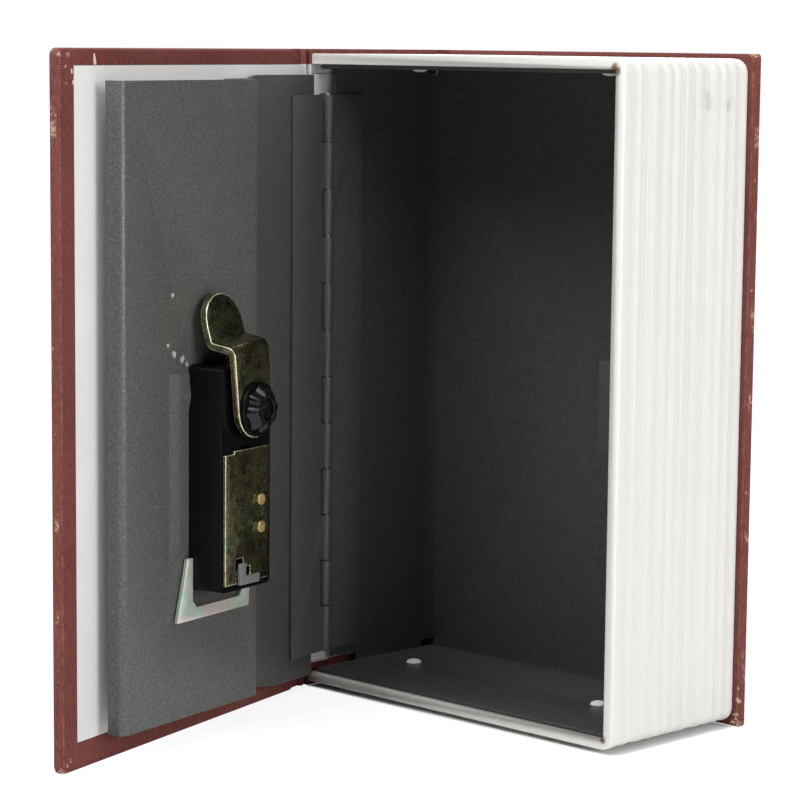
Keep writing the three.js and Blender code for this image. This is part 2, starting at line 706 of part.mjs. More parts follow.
function cam_washer() {
  const hole = spindle_square / 2 + bore_clearance;
  return rod(washer.radius, 'y', washer_near, washer_near + washer.thick, [0, 0])
    .subtract(block([-hole, hole], [washer_near - past, washer_near + washer.thick + past], [-hole, hole]));
}

function cam_nut() {
  const outline = new THREE.Shape();
  const steps = nut.lobes * 6;
  for (let k = 0; k < steps; k += 1) {
    const turn = (k / steps) * 2 * Math.PI;
    const radius = nut.radius - nut.lobe + nut.lobe * Math.cos(nut.lobes * turn);
    const point = [radius * Math.cos(turn), radius * Math.sin(turn)];
    if (k === 0) outline.moveTo(...point);
    else outline.lineTo(...point);
  }
  const tapered = prism(outline, 'y', nut_near, nut_near + nut.thick).warp((point) => {
    const share = 1 - (nut.taper * (point[1] - nut_near)) / nut.thick;
    point[0] *= share;
    point[2] *= share;
  });
  return tapered
    .subtract(rod(spindle_thread + bore_clearance, 'y', nut_near - past, nut_near + nut.thick + past, [0, 0], 16));
}

// Reset lever: a stem in the backplate's window with a foot below it
function reset_lever() {
  const plate_low = pivot_height - backplate.bottom;
  const near = lock_rear + fit_gap + backplate.thick + fit_gap;
  const y = [near, near + lever.thick];
  const left = pivot_across + backplate.window - lever.inset;
  const stem = [left - lever.stem, left];
  const low = plate_low + lever.up;
  const pin_left = left - lever.stem / 2;
  return block(stem, y, [low - lever.lap, low + lever.stem_rise])
    .add(block([left - lever.foot, left], y, [low - lever.foot_drop, low]))
    .add(block([pin_left - lever.pin, pin_left + lever.pin], [lock_rear - rivet.root, near + lever.lap],
      [low + lever.seat, low + lever.seat + lever.pin]));
}

// The group that stands still: back cover, spine, page block, steel box and the fixed hinge leaf
const book = new THREE.Group();

const back_cover = new THREE.Group();
back_cover.position.set(0, back_joint_y, 0);
const back_start = joint_x + joint_radius + lay_gap;
back_cover.add(
  piece('back_cover_board', cover_board(back_start, cover_fore), finish.board),
  piece('back_cover_cloth', cover_cloth(back_start, cover_fore, -1), finish.bookcloth),
  piece('back_endpaper', cover_paper(back_start, cover_fore, -1), finish.endpaper),
);

book.add(
  back_cover,
  piece('spine_board', spine_board(), finish.board),
  piece('spine_cloth', spine_cloth(), finish.bookcloth),
  piece('spine_liner', spine_liner(), finish.endpaper),
  piece('page_block_frame', page_block_frame(), finish.white_plastic),
  piece('steel_box', steel_box(), finish.painted_steel),
  piece('strike_tab', strike_tab(), finish.painted_steel),
  ...at_pegs(peg_body).map((body, i) => piece(`frame_peg_${i + 1}`, body, finish.white_plastic)),
);

const hinge = new THREE.Group();
hinge.position.set(hinge_x, hinge_y, 0);
const pin_ends = [hinge_bottom - pin_overhang, hinge_bottom + knuckles * knuckle_pitch + pin_overhang];
hinge.add(
  piece('hinge_box_leaf', hinge_box_leaf(), finish.painted_steel),
  piece('hinge_pin', rod(pin_radius, 'z', pin_ends[0], pin_ends[1], [0, 0], 16), finish.bare_steel),
);

// Front cover, turned about the cloth joint at the spine
const front_cover = new THREE.Group();
front_cover.position.set(joint_x, joint_y, 0);
front_cover.rotation.z = THREE.MathUtils.degToRad(-cover_open);
const cover_start = joint_radius + lay_gap;
const cover_end = cover_fore - joint_x;
front_cover.add(
  piece('front_joint_cloth', rod(joint_radius, 'z', 0, book_height, [0, 0]), finish.bookcloth),
  piece('front_cover_board', cover_board(cover_start, cover_end), finish.board),
  piece('front_cover_cloth', cover_cloth(cover_start, cover_end, 1), finish.bookcloth),
  piece('front_endpaper', cover_paper(cover_start, cover_end, 1), finish.endpaper),
);

// Door, turned about the hinge pin, with the whole lock on it
const door = new THREE.Group();
door.position.set(hinge_x, hinge_y, 0);
door.rotation.z = THREE.MathUtils.degToRad(-door_open);
door.add(
  piece('hinge_door_leaf', hinge_door_leaf(), finish.painted_steel),
  piece('door_panel', door_panel(), finish.painted_steel),
  piece('lock_body', lock_body(), finish.black_plastic),
  piece('lock_backplate', lock_backplate(), finish.yellow_zinc),
  ...rivet.places.map((down, i) => piece(`backplate_rivet_${i + 1}`, backplate_rivet(down), finish.brass)),
  piece('lock_retaining_clip', retaining_clip(), finish.yellow_zinc),
  piece('dial_axle', dial_axle(), finish.bare_steel),
  piece('locking_bar', locking_bar(), finish.bare_steel),
  piece('detent_spring', detent_spring(), finish.bare_steel),
  piece('reset_lever', reset_lever(), finish.grey_plastic),
);
for (let i = 0; i < 3; i += 1) {
  door.add(
    piece(`dial_${i + 1}`, dial_ring(i), finish.black_plastic),
    piece(`code_sleeve_${i + 1}`, code_sleeve(i), finish.brass),
  );
}

const cam_train = new THREE.Group();
cam_train.position.set(pivot_across, 0, pivot_height);
cam_train.rotation.y = THREE.MathUtils.degToRad(cam.lean);
cam_train.add(
  piece('cam_spindle', cam_spindle(), finish.bare_steel),
  piece('thumb_knob', thumb_knob(), finish.black_plastic),
  piece('cam_lever', cam_lever(), finish.yellow_zinc),
  piece('cam_washer', cam_washer(), finish.black_plastic),
  piece('cam_nut', cam_nut(), finish.black_plastic),
);
door.add(cam_train);
book.add(hinge, front_cover, door);

// The origin is at the bottom centre of the open book
const reach = new THREE.Box3().setFromObject(book, true);
book.position.set(-(reach.min.x + reach.max.x) / 2, -(reach.min.y + reach.max.y) / 2, -reach.min.z);

const safe = new THREE.Group();
safe.add(book);

export default safe;
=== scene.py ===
"""A hollow book with a steel safe inside, standing open on a pale floor."""
import json
import math
import random

import bmesh
import bpy
from mathutils import Matrix, Vector

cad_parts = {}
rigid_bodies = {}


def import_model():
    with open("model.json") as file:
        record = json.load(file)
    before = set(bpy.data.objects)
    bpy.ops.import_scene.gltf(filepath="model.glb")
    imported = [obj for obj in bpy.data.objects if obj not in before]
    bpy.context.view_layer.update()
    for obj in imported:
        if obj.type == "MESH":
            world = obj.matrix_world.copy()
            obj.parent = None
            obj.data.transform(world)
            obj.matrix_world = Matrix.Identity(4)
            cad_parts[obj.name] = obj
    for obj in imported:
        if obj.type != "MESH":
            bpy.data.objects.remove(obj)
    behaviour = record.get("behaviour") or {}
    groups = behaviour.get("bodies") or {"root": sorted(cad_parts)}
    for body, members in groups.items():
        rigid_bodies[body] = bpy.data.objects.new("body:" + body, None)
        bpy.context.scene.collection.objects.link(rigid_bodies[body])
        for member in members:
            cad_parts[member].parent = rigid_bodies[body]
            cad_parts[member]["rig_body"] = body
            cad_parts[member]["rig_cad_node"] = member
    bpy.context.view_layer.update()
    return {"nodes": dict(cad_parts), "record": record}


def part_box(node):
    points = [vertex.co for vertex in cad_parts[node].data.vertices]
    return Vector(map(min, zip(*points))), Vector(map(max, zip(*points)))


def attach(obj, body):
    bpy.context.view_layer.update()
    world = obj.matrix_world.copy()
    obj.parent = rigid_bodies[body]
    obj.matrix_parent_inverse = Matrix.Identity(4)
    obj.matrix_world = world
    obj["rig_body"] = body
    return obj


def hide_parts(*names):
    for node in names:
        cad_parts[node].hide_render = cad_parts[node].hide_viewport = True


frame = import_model()

# The body that each node belongs to
BODY_OF = {node: body for body, nodes in frame["record"]["behaviour"]["bodies"].items() for node in nodes}

MM = 0.001
BOOK_HEIGHT = 180 * MM

# The front lower corner of the page block, beside the spine, is where the book's own sizes start. They are
# in millimetres, and the ones that are multiplied by MM are turned into metres.
block_low, block_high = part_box("page_block_frame")
BOOK = Vector((block_low.x, block_low.y, 0))
COVER_OPEN = math.radians(73.6)
DOOR_OPEN = math.radians(77.6)
COVER_PIVOT = BOOK + Vector((-2.2, -1.7, 0)) * MM
DOOR_PIVOT = BOOK + Vector((4.2, 2.3, 0)) * MM
COVER_LENGTH = 118.2 * MM

# Where the dials stand on the door
DIAL_ACROSS = 66.8
DIAL_INWARD = 11.2
DIAL_HEIGHTS = (51.2, 60.7, 70.2)


def turned(pivot, angle, across, inward, height):
    """A place on a leaf that is turned open about a standing axis, from sizes in millimetres."""
    along = Vector((math.cos(angle), -math.sin(angle), 0))
    facing = Vector((math.sin(angle), math.cos(angle), 0))
    return pivot + (along * across + facing * inward + Vector((0, 0, height))) * MM


# Camera. The focal length and the centre are in pixels of the picture.
CAMERA_TILT = math.radians(7.5815)
CAMERA_ROLL = math.radians(0.5842)
CAMERA_YAW = math.radians(44.659)
CAMERA_DISTANCE = 779.786 * MM
CAMERA_AIM = Vector((41.532, 0, 79.568)) * MM
FOCAL_PIXELS = 2872.59
CENTRE_PIXEL = (414.96, 423.34)
PICTURE = 800
SENSOR = 36
CLIP_START = 10 * MM


def add_camera():
    """The camera that sees the book as the photo does, from its tilt, its roll and its yaw."""
    forward = Vector((-math.sin(CAMERA_YAW) * math.cos(CAMERA_TILT),
                      math.cos(CAMERA_YAW) * math.cos(CAMERA_TILT), -math.sin(CAMERA_TILT)))
    level = Vector((math.cos(CAMERA_YAW), math.sin(CAMERA_YAW), 0))
    upright = level.cross(forward)
    right = level * math.cos(CAMERA_ROLL) + upright * math.sin(CAMERA_ROLL)
    up = upright * math.cos(CAMERA_ROLL) - level * math.sin(CAMERA_ROLL)
    turn = Matrix((right, up, -forward)).transposed()
    bpy.ops.object.camera_add()
    camera = bpy.context.active_object
    camera.name = "photo_camera"
    camera.location = BOOK + CAMERA_AIM - forward * CAMERA_DISTANCE
    camera.rotation_euler = turn.to_euler()
    camera.data.sensor_width = SENSOR
    camera.data.lens = FOCAL_PIXELS * SENSOR / PICTURE
    camera.data.shift_x = (PICTURE / 2 - CENTRE_PIXEL[0]) / PICTURE
    camera.data.shift_y = (CENTRE_PIXEL[1] - PICTURE / 2) / PICTURE
    camera.data.clip_start = CLIP_START
    bpy.context.scene.camera = camera


# Materials. Each one is a tree of nodes that reads the piece's own coordinates.
class Finish:
    """A new material with its shader, and short calls that add and link nodes."""

    def __init__(self, name, base, roughness, metallic=0.0):
        self.material = bpy.data.materials.new(name)
        self.material.use_nodes = True
        self.tree = self.material.node_tree
        self.shader = self.tree.nodes["Principled BSDF"]
        self.shader.inputs["Base Color"].default_value = (*base, 1)
        self.shader.inputs["Roughness"].default_value = roughness
        self.shader.inputs["Metallic"].default_value = metallic
        self.place = self.add("ShaderNodeTexCoord").outputs["Object"]

    def add(self, kind, **values):
        """A new node, with some of its settings."""
        node = self.tree.nodes.new(kind)
        for key, value in values.items():
            setattr(node, key, value)
        return node

    def link(self, source, target):
        self.tree.links.new(source, target)

    def stretched(self, scale, turn=(0, 0, 0)):
        """The piece's own coordinates, turned and then scaled."""
        node = self.add("ShaderNodeMapping")
        node.inputs["Scale"].default_value = scale
        node.inputs["Rotation"].default_value = turn
        self.link(self.place, node.inputs["Vector"])
        return node.outputs["Vector"]

    def noise(self, scale, detail=3.0, rough=0.55, place=None):
        """Cloudy noise round a half, with this many waves in a metre."""
        node = self.add("ShaderNodeTexNoise")
        node.inputs["Scale"].default_value = scale
        node.inputs["Detail"].default_value = detail
        node.inputs["Roughness"].default_value = rough
        self.link(place or self.place, node.inputs["Vector"])
        return node.outputs["Fac"]

    def cells(self, scale):
        """The distance to the nearest of some scattered points, with this many points along a metre."""
        node = self.add("ShaderNodeTexVoronoi", feature="F1")
        node.inputs["Scale"].default_value = scale
        self.link(self.place, node.inputs["Vector"])
        return node.outputs["Distance"]

    def bands(self, scale, place, distortion, direction):
        """Waves from zero to one along a direction, bent this way and that by the distortion."""
        node = self.add("ShaderNodeTexWave", wave_type="BANDS", bands_direction=direction, wave_profile="SIN")
        node.inputs["Scale"].default_value = scale
        node.inputs["Distortion"].default_value = distortion
        node.inputs["Detail"].default_value = 1.0
        self.link(place, node.inputs["Vector"])
        return node.outputs["Fac"]

    def remap(self, value, low, high, to_low=0.0, to_high=1.0):
        """Turns values from low to high into values from to_low to to_high, and goes no further."""
        node = self.add("ShaderNodeMapRange")
        self.link(value, node.inputs["Value"])
        for key, number in (("From Min", low), ("From Max", high), ("To Min", to_low), ("To Max", to_high)):
            node.inputs[key].default_value = number
        return node.outputs["Result"]

    def maths(self, operation, first, second):
        """One operation on two numbers or outputs."""
        node = self.add("ShaderNodeMath", operation=operation)
        for socket, value in zip(node.inputs, (first, second)):
            if isinstance(value, (int, float)):
                socket.default_value = value
            else:
                self.link(value, socket)
        return node.outputs["Value"]

    def vectors(self, operation, first, second=(0, 0, 0)):
        """One operation on the first output and a fixed vector, as the node's own outputs."""
        node = self.add("ShaderNodeVectorMath", operation=operation)
        self.link(first, node.inputs[0])
        node.inputs[1].default_value = second
        return node.outputs

    def along(self, direction, origin):
        """How far a point lies from origin along a direction, in metres."""
        offset = self.vectors("SUBTRACT", self.place, origin)["Vector"]
        return self.vectors("DOT_PRODUCT", offset, direction)["Value"]

    def near(self, spot, reach):
        """One at a spot, falling to nothing at its reach."""
        away = self.vectors("DISTANCE", self.place, spot)["Value"]
        return self.remap(away, 0, reach, 1, 0)

    def mixed(self, fraction, first, second):
        """The first colour, and the second one where the fraction is one."""
        node = self.add("ShaderNodeMix", data_type="RGBA")
        self.link(fraction, node.inputs["Factor"])
        colours = [socket for socket in node.inputs if socket.type == "RGBA"]
        for socket, value in zip(colours, (first, second)):
            if isinstance(value, tuple):
                socket.default_value = (*value, 1)
            else:
                self.link(value, socket)
        return [socket for socket in node.outputs if socket.type == "RGBA"][0]

    def ramp(self, value, stops):
        """A colour by the value, from stops that each have a value and a colour."""
        node = self.add("ShaderNodeValToRGB")
        ramp = node.color_ramp
        while len(ramp.elements) < len(stops):
            ramp.elements.new(0.5)
        for element, (where, colour) in zip(ramp.elements, stops):
            element.position = where
            element.color = (*colour, 1)
        self.link(value, node.inputs["Fac"])
        return node.outputs["Color"]

    def either(self, *shares):
        """The largest of some shares."""
        largest = shares[0]
        for share in shares[1:]:
            largest = self.maths("MAXIMUM", largest, share)
        return largest

    def coloured(self, colour):
        self.link(colour, self.shader.inputs["Base Color"])

    def toned(self, value, low, high, tones):
        """Colours the piece from the first tone at the low value to the second at the high one."""
        self.coloured(self.ramp(value, tuple(zip((low, high), tones))))

    def roughened(self, value):
        self.link(value, self.shader.inputs["Roughness"])

    def bumped(self, height, distance, strength=1.0):
        """Adds a bump of this depth in metres on top of any that is there."""
        node = self.add("ShaderNodeBump")
        node.inputs["Distance"].default_value = distance
        node.inputs["Strength"].default_value = strength
        self.link(height, node.inputs["Height"])
        normal = self.shader.inputs["Normal"]
        if normal.is_linked:
            self.link(normal.links[0].from_socket, node.inputs["Normal"])
        self.link(node.outputs["Normal"], normal)


# In the finishes below, noise takes its waves per metre, its detail and its roughness, remap takes two
# limits and what they turn into, and bumped takes a depth and a share of it. Colours are linear red, green
# and blue.
CLOTH = (0.158, 0.044, 0.037)
CLOTH_DARK = (0.100, 0.025, 0.021)
CLOTH_PALE = (0.225, 0.075, 0.062)
CLOTH_CORE = (0.60, 0.40, 0.31)
# Painted shade for the cloth in the slot below the lining, by the foot
CLOTH_SHADED = (0.085, 0.022, 0.020)
TORN = (0.72, 0.60, 0.55)
PAPER = (0.665, 0.655, 0.645)
THREAD_WAVES = 620
THREAD_WANDER = 5.5
KNOT_WAVES = 520
KNOT_WANDER = 4

# How far wear, and along the top edge partly a painted highlight, reaches in from the cover's edges and
# corners, and where the bright ridge of knots runs
EDGE_WEAR_AND_HIGHLIGHT = 0.8 * MM
FOOT_WEAR = 0.9 * MM
CORNER_WEAR = 5 * MM
CORNER_CORE = 0.5 * MM
RIDGE_START = 1.15 * MM
RIDGE_FULL = 0.85 * MM
RIDGE_FADING = 0.65 * MM
RIDGE_END = 0.35 * MM

# Between these heights the paper lining covers the inside of the spine and the joint
LINING_BOTTOM = 6.5 * MM
LINING_TOP = 175.7 * MM
LINING_BLUR = 0.2 * MM


def torn_patch(cloth, spots):
    """Where the cloth is gone altogether round some spots."""
    return cloth.either(*(cloth.remap(cloth.near(place, reach * MM), 0.1, 0.4) for place, reach in spots))


def worn_patch(cloth, spots, grain):
    """Where the cloth is worn through round some spots, each a place and its reach in millimetres."""
    near = (cloth.remap(cloth.near(place, reach * MM), 0, 0.55) for place, reach in spots)
    worn = cloth.either(*(cloth.maths("MULTIPLY", share, grain) for share in near))
    return cloth.remap(worn, 0.46, 0.54, 0, 0.9)


def edge_wear(cloth, run, height, end):
    """Pale wear along the fore-edge, the top and the foot, and all over the outer corners; the band along the
    top edge is partly a painted highlight.
    """
    top = BOOK_HEIGHT
    edge = cloth.either(cloth.remap(run, end - EDGE_WEAR_AND_HIGHLIGHT, end, 0, 1),
                        cloth.remap(height, FOOT_WEAR, 0, 0, 1),
                        cloth.remap(height, top - EDGE_WEAR_AND_HIGHLIGHT, top, 0, 1))
    high_or_low = cloth.either(cloth.remap(height, CORNER_WEAR, CORNER_CORE, 0, 1),
                               cloth.remap(height, top - CORNER_WEAR, top - CORNER_CORE, 0, 1))
    corner = cloth.remap(run, end - CORNER_WEAR, end - CORNER_CORE, 0, 1)
    corner = cloth.maths("MULTIPLY", corner, high_or_low)
    patches = cloth.noise(85, 2)
    return cloth.either(cloth.maths("MULTIPLY", edge, cloth.remap(patches, 0.40, 0.62, 0.3, 1)), corner)


def edge_knots(cloth, run, end, weave):
    """The bright knots of the weave on the narrow ridge of the fore-edge."""
    ridge = cloth.maths("MULTIPLY", cloth.remap(run, end - RIDGE_START, end - RIDGE_FULL, 0, 1),
                        cloth.remap(run, end - RIDGE_END, end - RIDGE_FADING, 0, 0.42))
    threads = cloth.remap(cloth.bands(KNOT_WAVES, weave, KNOT_WANDER, "Z"), 0.6, 0.95)
    knots = cloth.maths("MULTIPLY", threads, ridge)
    return cloth.maths("MULTIPLY", knots, cloth.remap(cloth.noise(500, 3), 0.40, 0.60))


def lined(cloth, colour, height, lining):
    """Pale paper over the inner side, and darker cloth as painted shade where the paper stops above the foot.
    """
    side = cloth.remap(cloth.along(*lining), 0, 0.05 * MM, 0, 1)
    between = cloth.maths("MULTIPLY", cloth.remap(height, LINING_BOTTOM - LINING_BLUR, LINING_BOTTOM, 0, 1),
                          cloth.remap(height, LINING_TOP + LINING_BLUR, LINING_TOP, 0, 1))
    colour = cloth.mixed(cloth.maths("MULTIPLY", side, between), colour, PAPER)
    # Painted shade on the cloth below the lining, in the slot by the foot
    below = cloth.remap(height, LINING_BOTTOM, LINING_BOTTOM - LINING_BLUR, 0, 0.85)
    return cloth.mixed(cloth.maths("MULTIPLY", side, below), colour, CLOTH_SHADED)


def bookcloth(name, along, end, spots=(), nicks=(), lining=None):
    """Burgundy cloth with a fine uneven weave, rubbed pale at its outer corners and edges, the top edge
    partly as a painted highlight.
    """
    cloth = Finish(name, CLOTH, 0.72)
    weave = cloth.stretched((1, 1, 1), turn=(0, 0, -math.atan2(along.y, along.x)))
    warp = cloth.bands(THREAD_WAVES, weave, THREAD_WANDER, "X")
    weft = cloth.bands(THREAD_WAVES, weave, THREAD_WANDER, "Z")
    slubs = cloth.noise(1400, 3, 0.6, place=cloth.stretched((1, 1, 0.5)))
    grain = cloth.maths("ADD", cloth.maths("MULTIPLY", cloth.either(warp, weft), 0.2),
                        cloth.maths("MULTIPLY", slubs, 0.8))
    colour = cloth.ramp(grain, ((0.30, CLOTH_DARK), (0.55, CLOTH), (0.85, CLOTH_PALE)))
    colour = cloth.mixed(cloth.remap(cloth.noise(45, 4), 0.42, 0.75, 0, 0.3), colour, CLOTH_PALE)
    run = cloth.along(along, COVER_PIVOT)
    height = cloth.along(Vector((0, 0, 1)), (0, 0, 0))
    flecks = cloth.noise(1150, 5, 0.7)
    # The rubbed marks are real wear, and along the top edge partly a painted highlight
    rubbed = cloth.maths("MULTIPLY", edge_wear(cloth, run, height, end), flecks)
    rubbed = cloth.either(cloth.remap(rubbed, 0.46, 0.60, 0, 0.7), edge_knots(cloth, run, end, weave))
    if spots:
        rubbed = cloth.either(rubbed, worn_patch(cloth, spots, flecks))
    colour = cloth.mixed(rubbed, colour, CLOTH_CORE)
    if nicks:
        colour = cloth.mixed(torn_patch(cloth, nicks), colour, TORN)
    if lining:
        colour = lined(cloth, colour, height, lining)
    cloth.coloured(colour)
    cloth.bumped(grain, 0.1 * MM, 0.8)
    cloth.bumped(cloth.noise(60, 3), 0.25 * MM, 0.5)
    cloth.bumped(rubbed, 0.1 * MM, 0.5)
    cloth.shader.inputs["Specular IOR Level"].default_value = 0.2
    return cloth.material


BOARD_TONES = ((0.25, 0.22, 0.18), (0.42, 0.37, 0.31))


def greyboard():
    """Pressed grey board with long fibres."""
    board = Finish("greyboard", BOARD_TONES[0], 0.95)
    fibres = board.noise(700, 4, place=board.stretched((1, 1, 0.25)))
    board.toned(fibres, 0.3, 0.7, BOARD_TONES)
    board.bumped(fibres, 0.08 * MM)
    return board.material


PAPER_CLEAN = (0.70, 0.69, 0.68)
PAPER_SOILED = (0.62, 0.60, 0.575)


def endpaper(name):
    """Smooth off-white paper with faint fibres and a little soiling."""
    paper = Finish(name, PAPER, 0.82)
    fibres = paper.noise(1100, 3, place=paper.stretched((0.5, 0.5, 1)))
    soiled = paper.noise(22, 5, 0.6)
    paper.coloured(paper.ramp(soiled, ((0.35, PAPER), (0.6, PAPER_CLEAN), (0.85, PAPER_SOILED))))
    paper.bumped(fibres, 0.02 * MM, 0.6)
    return paper.material


PAGE_WHITE = (0.715, 0.705, 0.68)
PAGE_SHADED = (0.64, 0.635, 0.61)
PAGE_WARM = (0.715, 0.685, 0.64)
PAGE_CREAM = (0.69, 0.68, 0.64)
BEAD_DEPTH = 3.0 * MM
LEAVES_DEPTH = 3.6 * MM

# Brown spots in the inner corners of the rim, and grey marks on the fore-edge: across, inward and up, then
# their reach
RIM_CORNER_BROWNS = ((110.9, 0.9, 175.9, 2.6), (110.9, 0.9, 4.2, 1.9))
CORNER_BROWN = (0.19, 0.115, 0.06)
GREY_MARKS = ((113.8, 33, 168, 5.5), (113.8, 42, 167, 4.5), (113.8, 40, 60, 0.9))
MARK_GREY = (0.36, 0.35, 0.34)


def marked(finish, colour, marks, specks, limits, tone):
    """Lays uneven spots of one tone over a colour.

    The limits say where a spot starts, where it is full, and how full that is.
    """
    start, full, most = limits
    for across, deep, height, reach in marks:
        spot = BOOK + Vector((across, deep, height)) * MM
        share = finish.maths("MULTIPLY", finish.near(spot, reach * MM), specks)
        colour = finish.mixed(finish.remap(share, start, full, 0, most), colour, tone)
    return colour


def page_plastic():
    """White moulded plastic, with the fine lines of leaves and some grey and brown marks."""
    plastic = Finish("page_white", PAGE_WHITE, 0.42)
    depth = plastic.along(Vector((0, 1, 0)), BOOK)
    run = plastic.add("ShaderNodeCombineXYZ")
    plastic.link(depth, run.inputs["X"])
    fine = plastic.noise(1300, 2, 0.8, place=run.outputs["Vector"])
    broad = plastic.noise(330, 2, 0.5, place=run.outputs["Vector"])
    lines = plastic.maths("ADD", plastic.maths("MULTIPLY", fine, 0.6), plastic.maths("MULTIPLY", broad, 0.4))
    outside = plastic.remap(depth, BEAD_DEPTH, LEAVES_DEPTH, 0, 1)
    shade = plastic.maths("MULTIPLY", outside, plastic.remap(lines, 0.30, 0.48, 1, 0))
    colour = plastic.mixed(plastic.maths("MULTIPLY", shade, 0.5), PAGE_WHITE, PAGE_SHADED)
    warm = plastic.maths("MULTIPLY", outside, plastic.remap(broad, 0.5, 0.62, 0, 0.5))
    colour = plastic.mixed(warm, colour, PAGE_WARM)
    colour = plastic.mixed(plastic.remap(plastic.noise(30, 3), 0.5, 0.8, 0, 0.3), colour, PAGE_CREAM)
    colour = marked(plastic, colour, RIM_CORNER_BROWNS, plastic.noise(600, 3), (0.08, 0.26, 0.9), CORNER_BROWN)
    colour = marked(plastic, colour, GREY_MARKS, plastic.noise(420, 4), (0.22, 0.55, 0.6), MARK_GREY)
    plastic.coloured(colour)
    plastic.bumped(plastic.maths("MULTIPLY", lines, outside), 0.06 * MM, 0.5)
    plastic.bumped(plastic.noise(1500, 2), 0.01 * MM, 0.4)
    plastic.shader.inputs["Specular IOR Level"].default_value = 0.25
    plastic.shader.inputs["Subsurface Weight"].default_value = 0.7
    plastic.shader.inputs["Subsurface Radius"].default_value = (1, 0.95, 0.9)
    plastic.shader.inputs["Subsurface Scale"].default_value = 2 * MM
    return plastic.material


PAINT = (0.088, 0.088, 0.083)
PAINT_DARK = (0.066, 0.066, 0.062)
PAINT_LIGHT = (0.120, 0.120, 0.114)
# Painted shade: the door's plate beyond its step is darkened towards this
PAINT_SHADED = (0.052, 0.052, 0.050)
PAINT_GRAIN = (0.42, 0.42, 0.40)
CHIPPED = (0.55, 0.55, 0.53)
# Painted shade: the paint inside the box, and on the hinge leaf inside it, is darkened by these shares
INSIDE_SHADE_TONE = 0.6
LEAF_SHADE_TONE = 0.85


def hammered_paint(name, depth, sparkle, tone=1.0, chips=(), shaded_side=None):
    """Charcoal powder coat with an orange-peel skin and small bright grains.

    The tone darkens it all over, as painted shade inside the box and on its hinge leaf, the chips lie round
    some spots, and painted shade darkens it on one side of a line, on the door's plate beyond its step.
    """
    dark, plain, light = (tuple(part * tone for part in paint) for paint in (PAINT_DARK, PAINT, PAINT_LIGHT))
    paint = Finish(name, plain, 0.42)
    peel = paint.noise(1500, 2, 0.5)
    pits = paint.cells(1300)
    broad = paint.noise(28, 3)
    colour = paint.ramp(peel, ((0.30, dark), (0.5, plain), (0.75, light)))
    colour = paint.mixed(paint.remap(broad, 0.45, 0.8, 0, 0.15), colour, light)
    grains = paint.remap(paint.noise(3600, 1), 0.66, 0.74, 0, sparkle)
    colour = paint.mixed(grains, colour, PAINT_GRAIN)
    flakes = paint.noise(1500, 4, 0.65)
    for place, reach in chips:
        chipped = paint.maths("MULTIPLY", paint.near(place, reach * MM), flakes)
        colour = paint.mixed(paint.remap(chipped, 0.25, 0.35, 0, 0.9), colour, CHIPPED)
    # Painted shade on one side of the line, where the door's plate lies beyond its step
    if shaded_side:
        shade = paint.remap(paint.along(*shaded_side), 0, 0.4 * MM, 0.45, 0)
        colour = paint.mixed(shade, colour, PAINT_SHADED)
    paint.coloured(colour)
    paint.roughened(paint.remap(peel, 0.3, 0.7, 0.50, 0.34))
    paint.bumped(peel, depth, 0.9)
    paint.bumped(pits, depth * 0.4, 0.5)
    paint.shader.inputs["Metallic"].default_value = 0.15
    return paint.material


STEEL_TONES = ((0.46, 0.46, 0.45), (0.62, 0.62, 0.61))
SPINDLE_TONES = ((0.015, 0.015, 0.017), (0.05, 0.05, 0.05))
OILED_TONES = ((0.004, 0.004, 0.005), (0.02, 0.02, 0.022))
BRASS_TONES = ((0.66, 0.46, 0.17), (0.90, 0.70, 0.34))
LEVER_TONES = ((0.11, 0.115, 0.11), (0.16, 0.165, 0.16))
INK_TONES = ((0.66, 0.66, 0.63), (0.78, 0.78, 0.75))


def bright_steel():
    """Bare drawn steel, with streaks along its height."""
    steel = Finish("bright_steel", STEEL_TONES[1], 0.3, 1.0)
    drawn = steel.noise(500, 3, place=steel.stretched((1, 1, 0.06)))
    steel.roughened(steel.remap(drawn, 0.3, 0.7, 0.22, 0.42))
    steel.toned(drawn, 0.3, 0.7, STEEL_TONES)
    return steel.material


BLACK = (0.0027, 0.0028, 0.0034)
DUST = (0.06, 0.06, 0.06)


def black_moulding():
    """Glossy black plastic with faint dust and handling marks."""
    black = Finish("black_moulding", BLACK, 0.24)
    dust = black.noise(1700, 4, 0.7)
    smears = black.noise(70, 3)
    black.coloured(black.mixed(black.remap(dust, 0.64, 0.76, 0, 0.5), BLACK, DUST))
    black.roughened(black.remap(smears, 0.3, 0.7, 0.2, 0.4))
    black.shader.inputs["Specular IOR Level"].default_value = 0.13
    black.bumped(black.noise(800, 2), 0.015 * MM, 0.4)
    return black.material


def oiled_black():
    """The nut's blackened steel, glossy with oil."""
    black = Finish("oiled_black", OILED_TONES[0], 0.22, 0.3)
    grease = black.noise(900, 3)
    black.roughened(black.remap(grease, 0.3, 0.7, 0.14, 0.34))
    black.toned(grease, 0.4, 0.75, OILED_TONES)
    black.bumped(grease, 0.03 * MM, 0.6)
    return black.material


# The tones of the film from thin to thick, and of the soil on it
FILM_STEPS = (0.30, 0.42, 0.52, 0.61, 0.72)
YELLOW_TONES = ((0.22, 0.34, 0.23), (0.34, 0.40, 0.22), (0.40, 0.34, 0.17),
                (0.33, 0.27, 0.19), (0.22, 0.34, 0.28))
YELLOW_SOIL = (0.09, 0.068, 0.042)
# The clip's pale tones are partly its own silvery film and partly a painted reflection of the light on its
# flat faces
PALE_SHEEN_TONES = ((0.46, 0.70, 0.56), (0.66, 0.76, 0.62), (0.76, 0.62, 0.62),
              (0.52, 0.70, 0.62), (0.72, 0.80, 0.68))
PALE_SOIL = (0.55, 0.56, 0.46)
# Pale tones for the rounded edges of the cam and the backplate: a painted highlight along their rims, with
# some soil
RIM_HIGHLIGHT_TONES = ((0.60, 0.60, 0.42), (0.72, 0.70, 0.50), (0.78, 0.72, 0.55),
             (0.66, 0.60, 0.42), (0.62, 0.66, 0.50))
RIM_SOIL = (0.34, 0.28, 0.15)


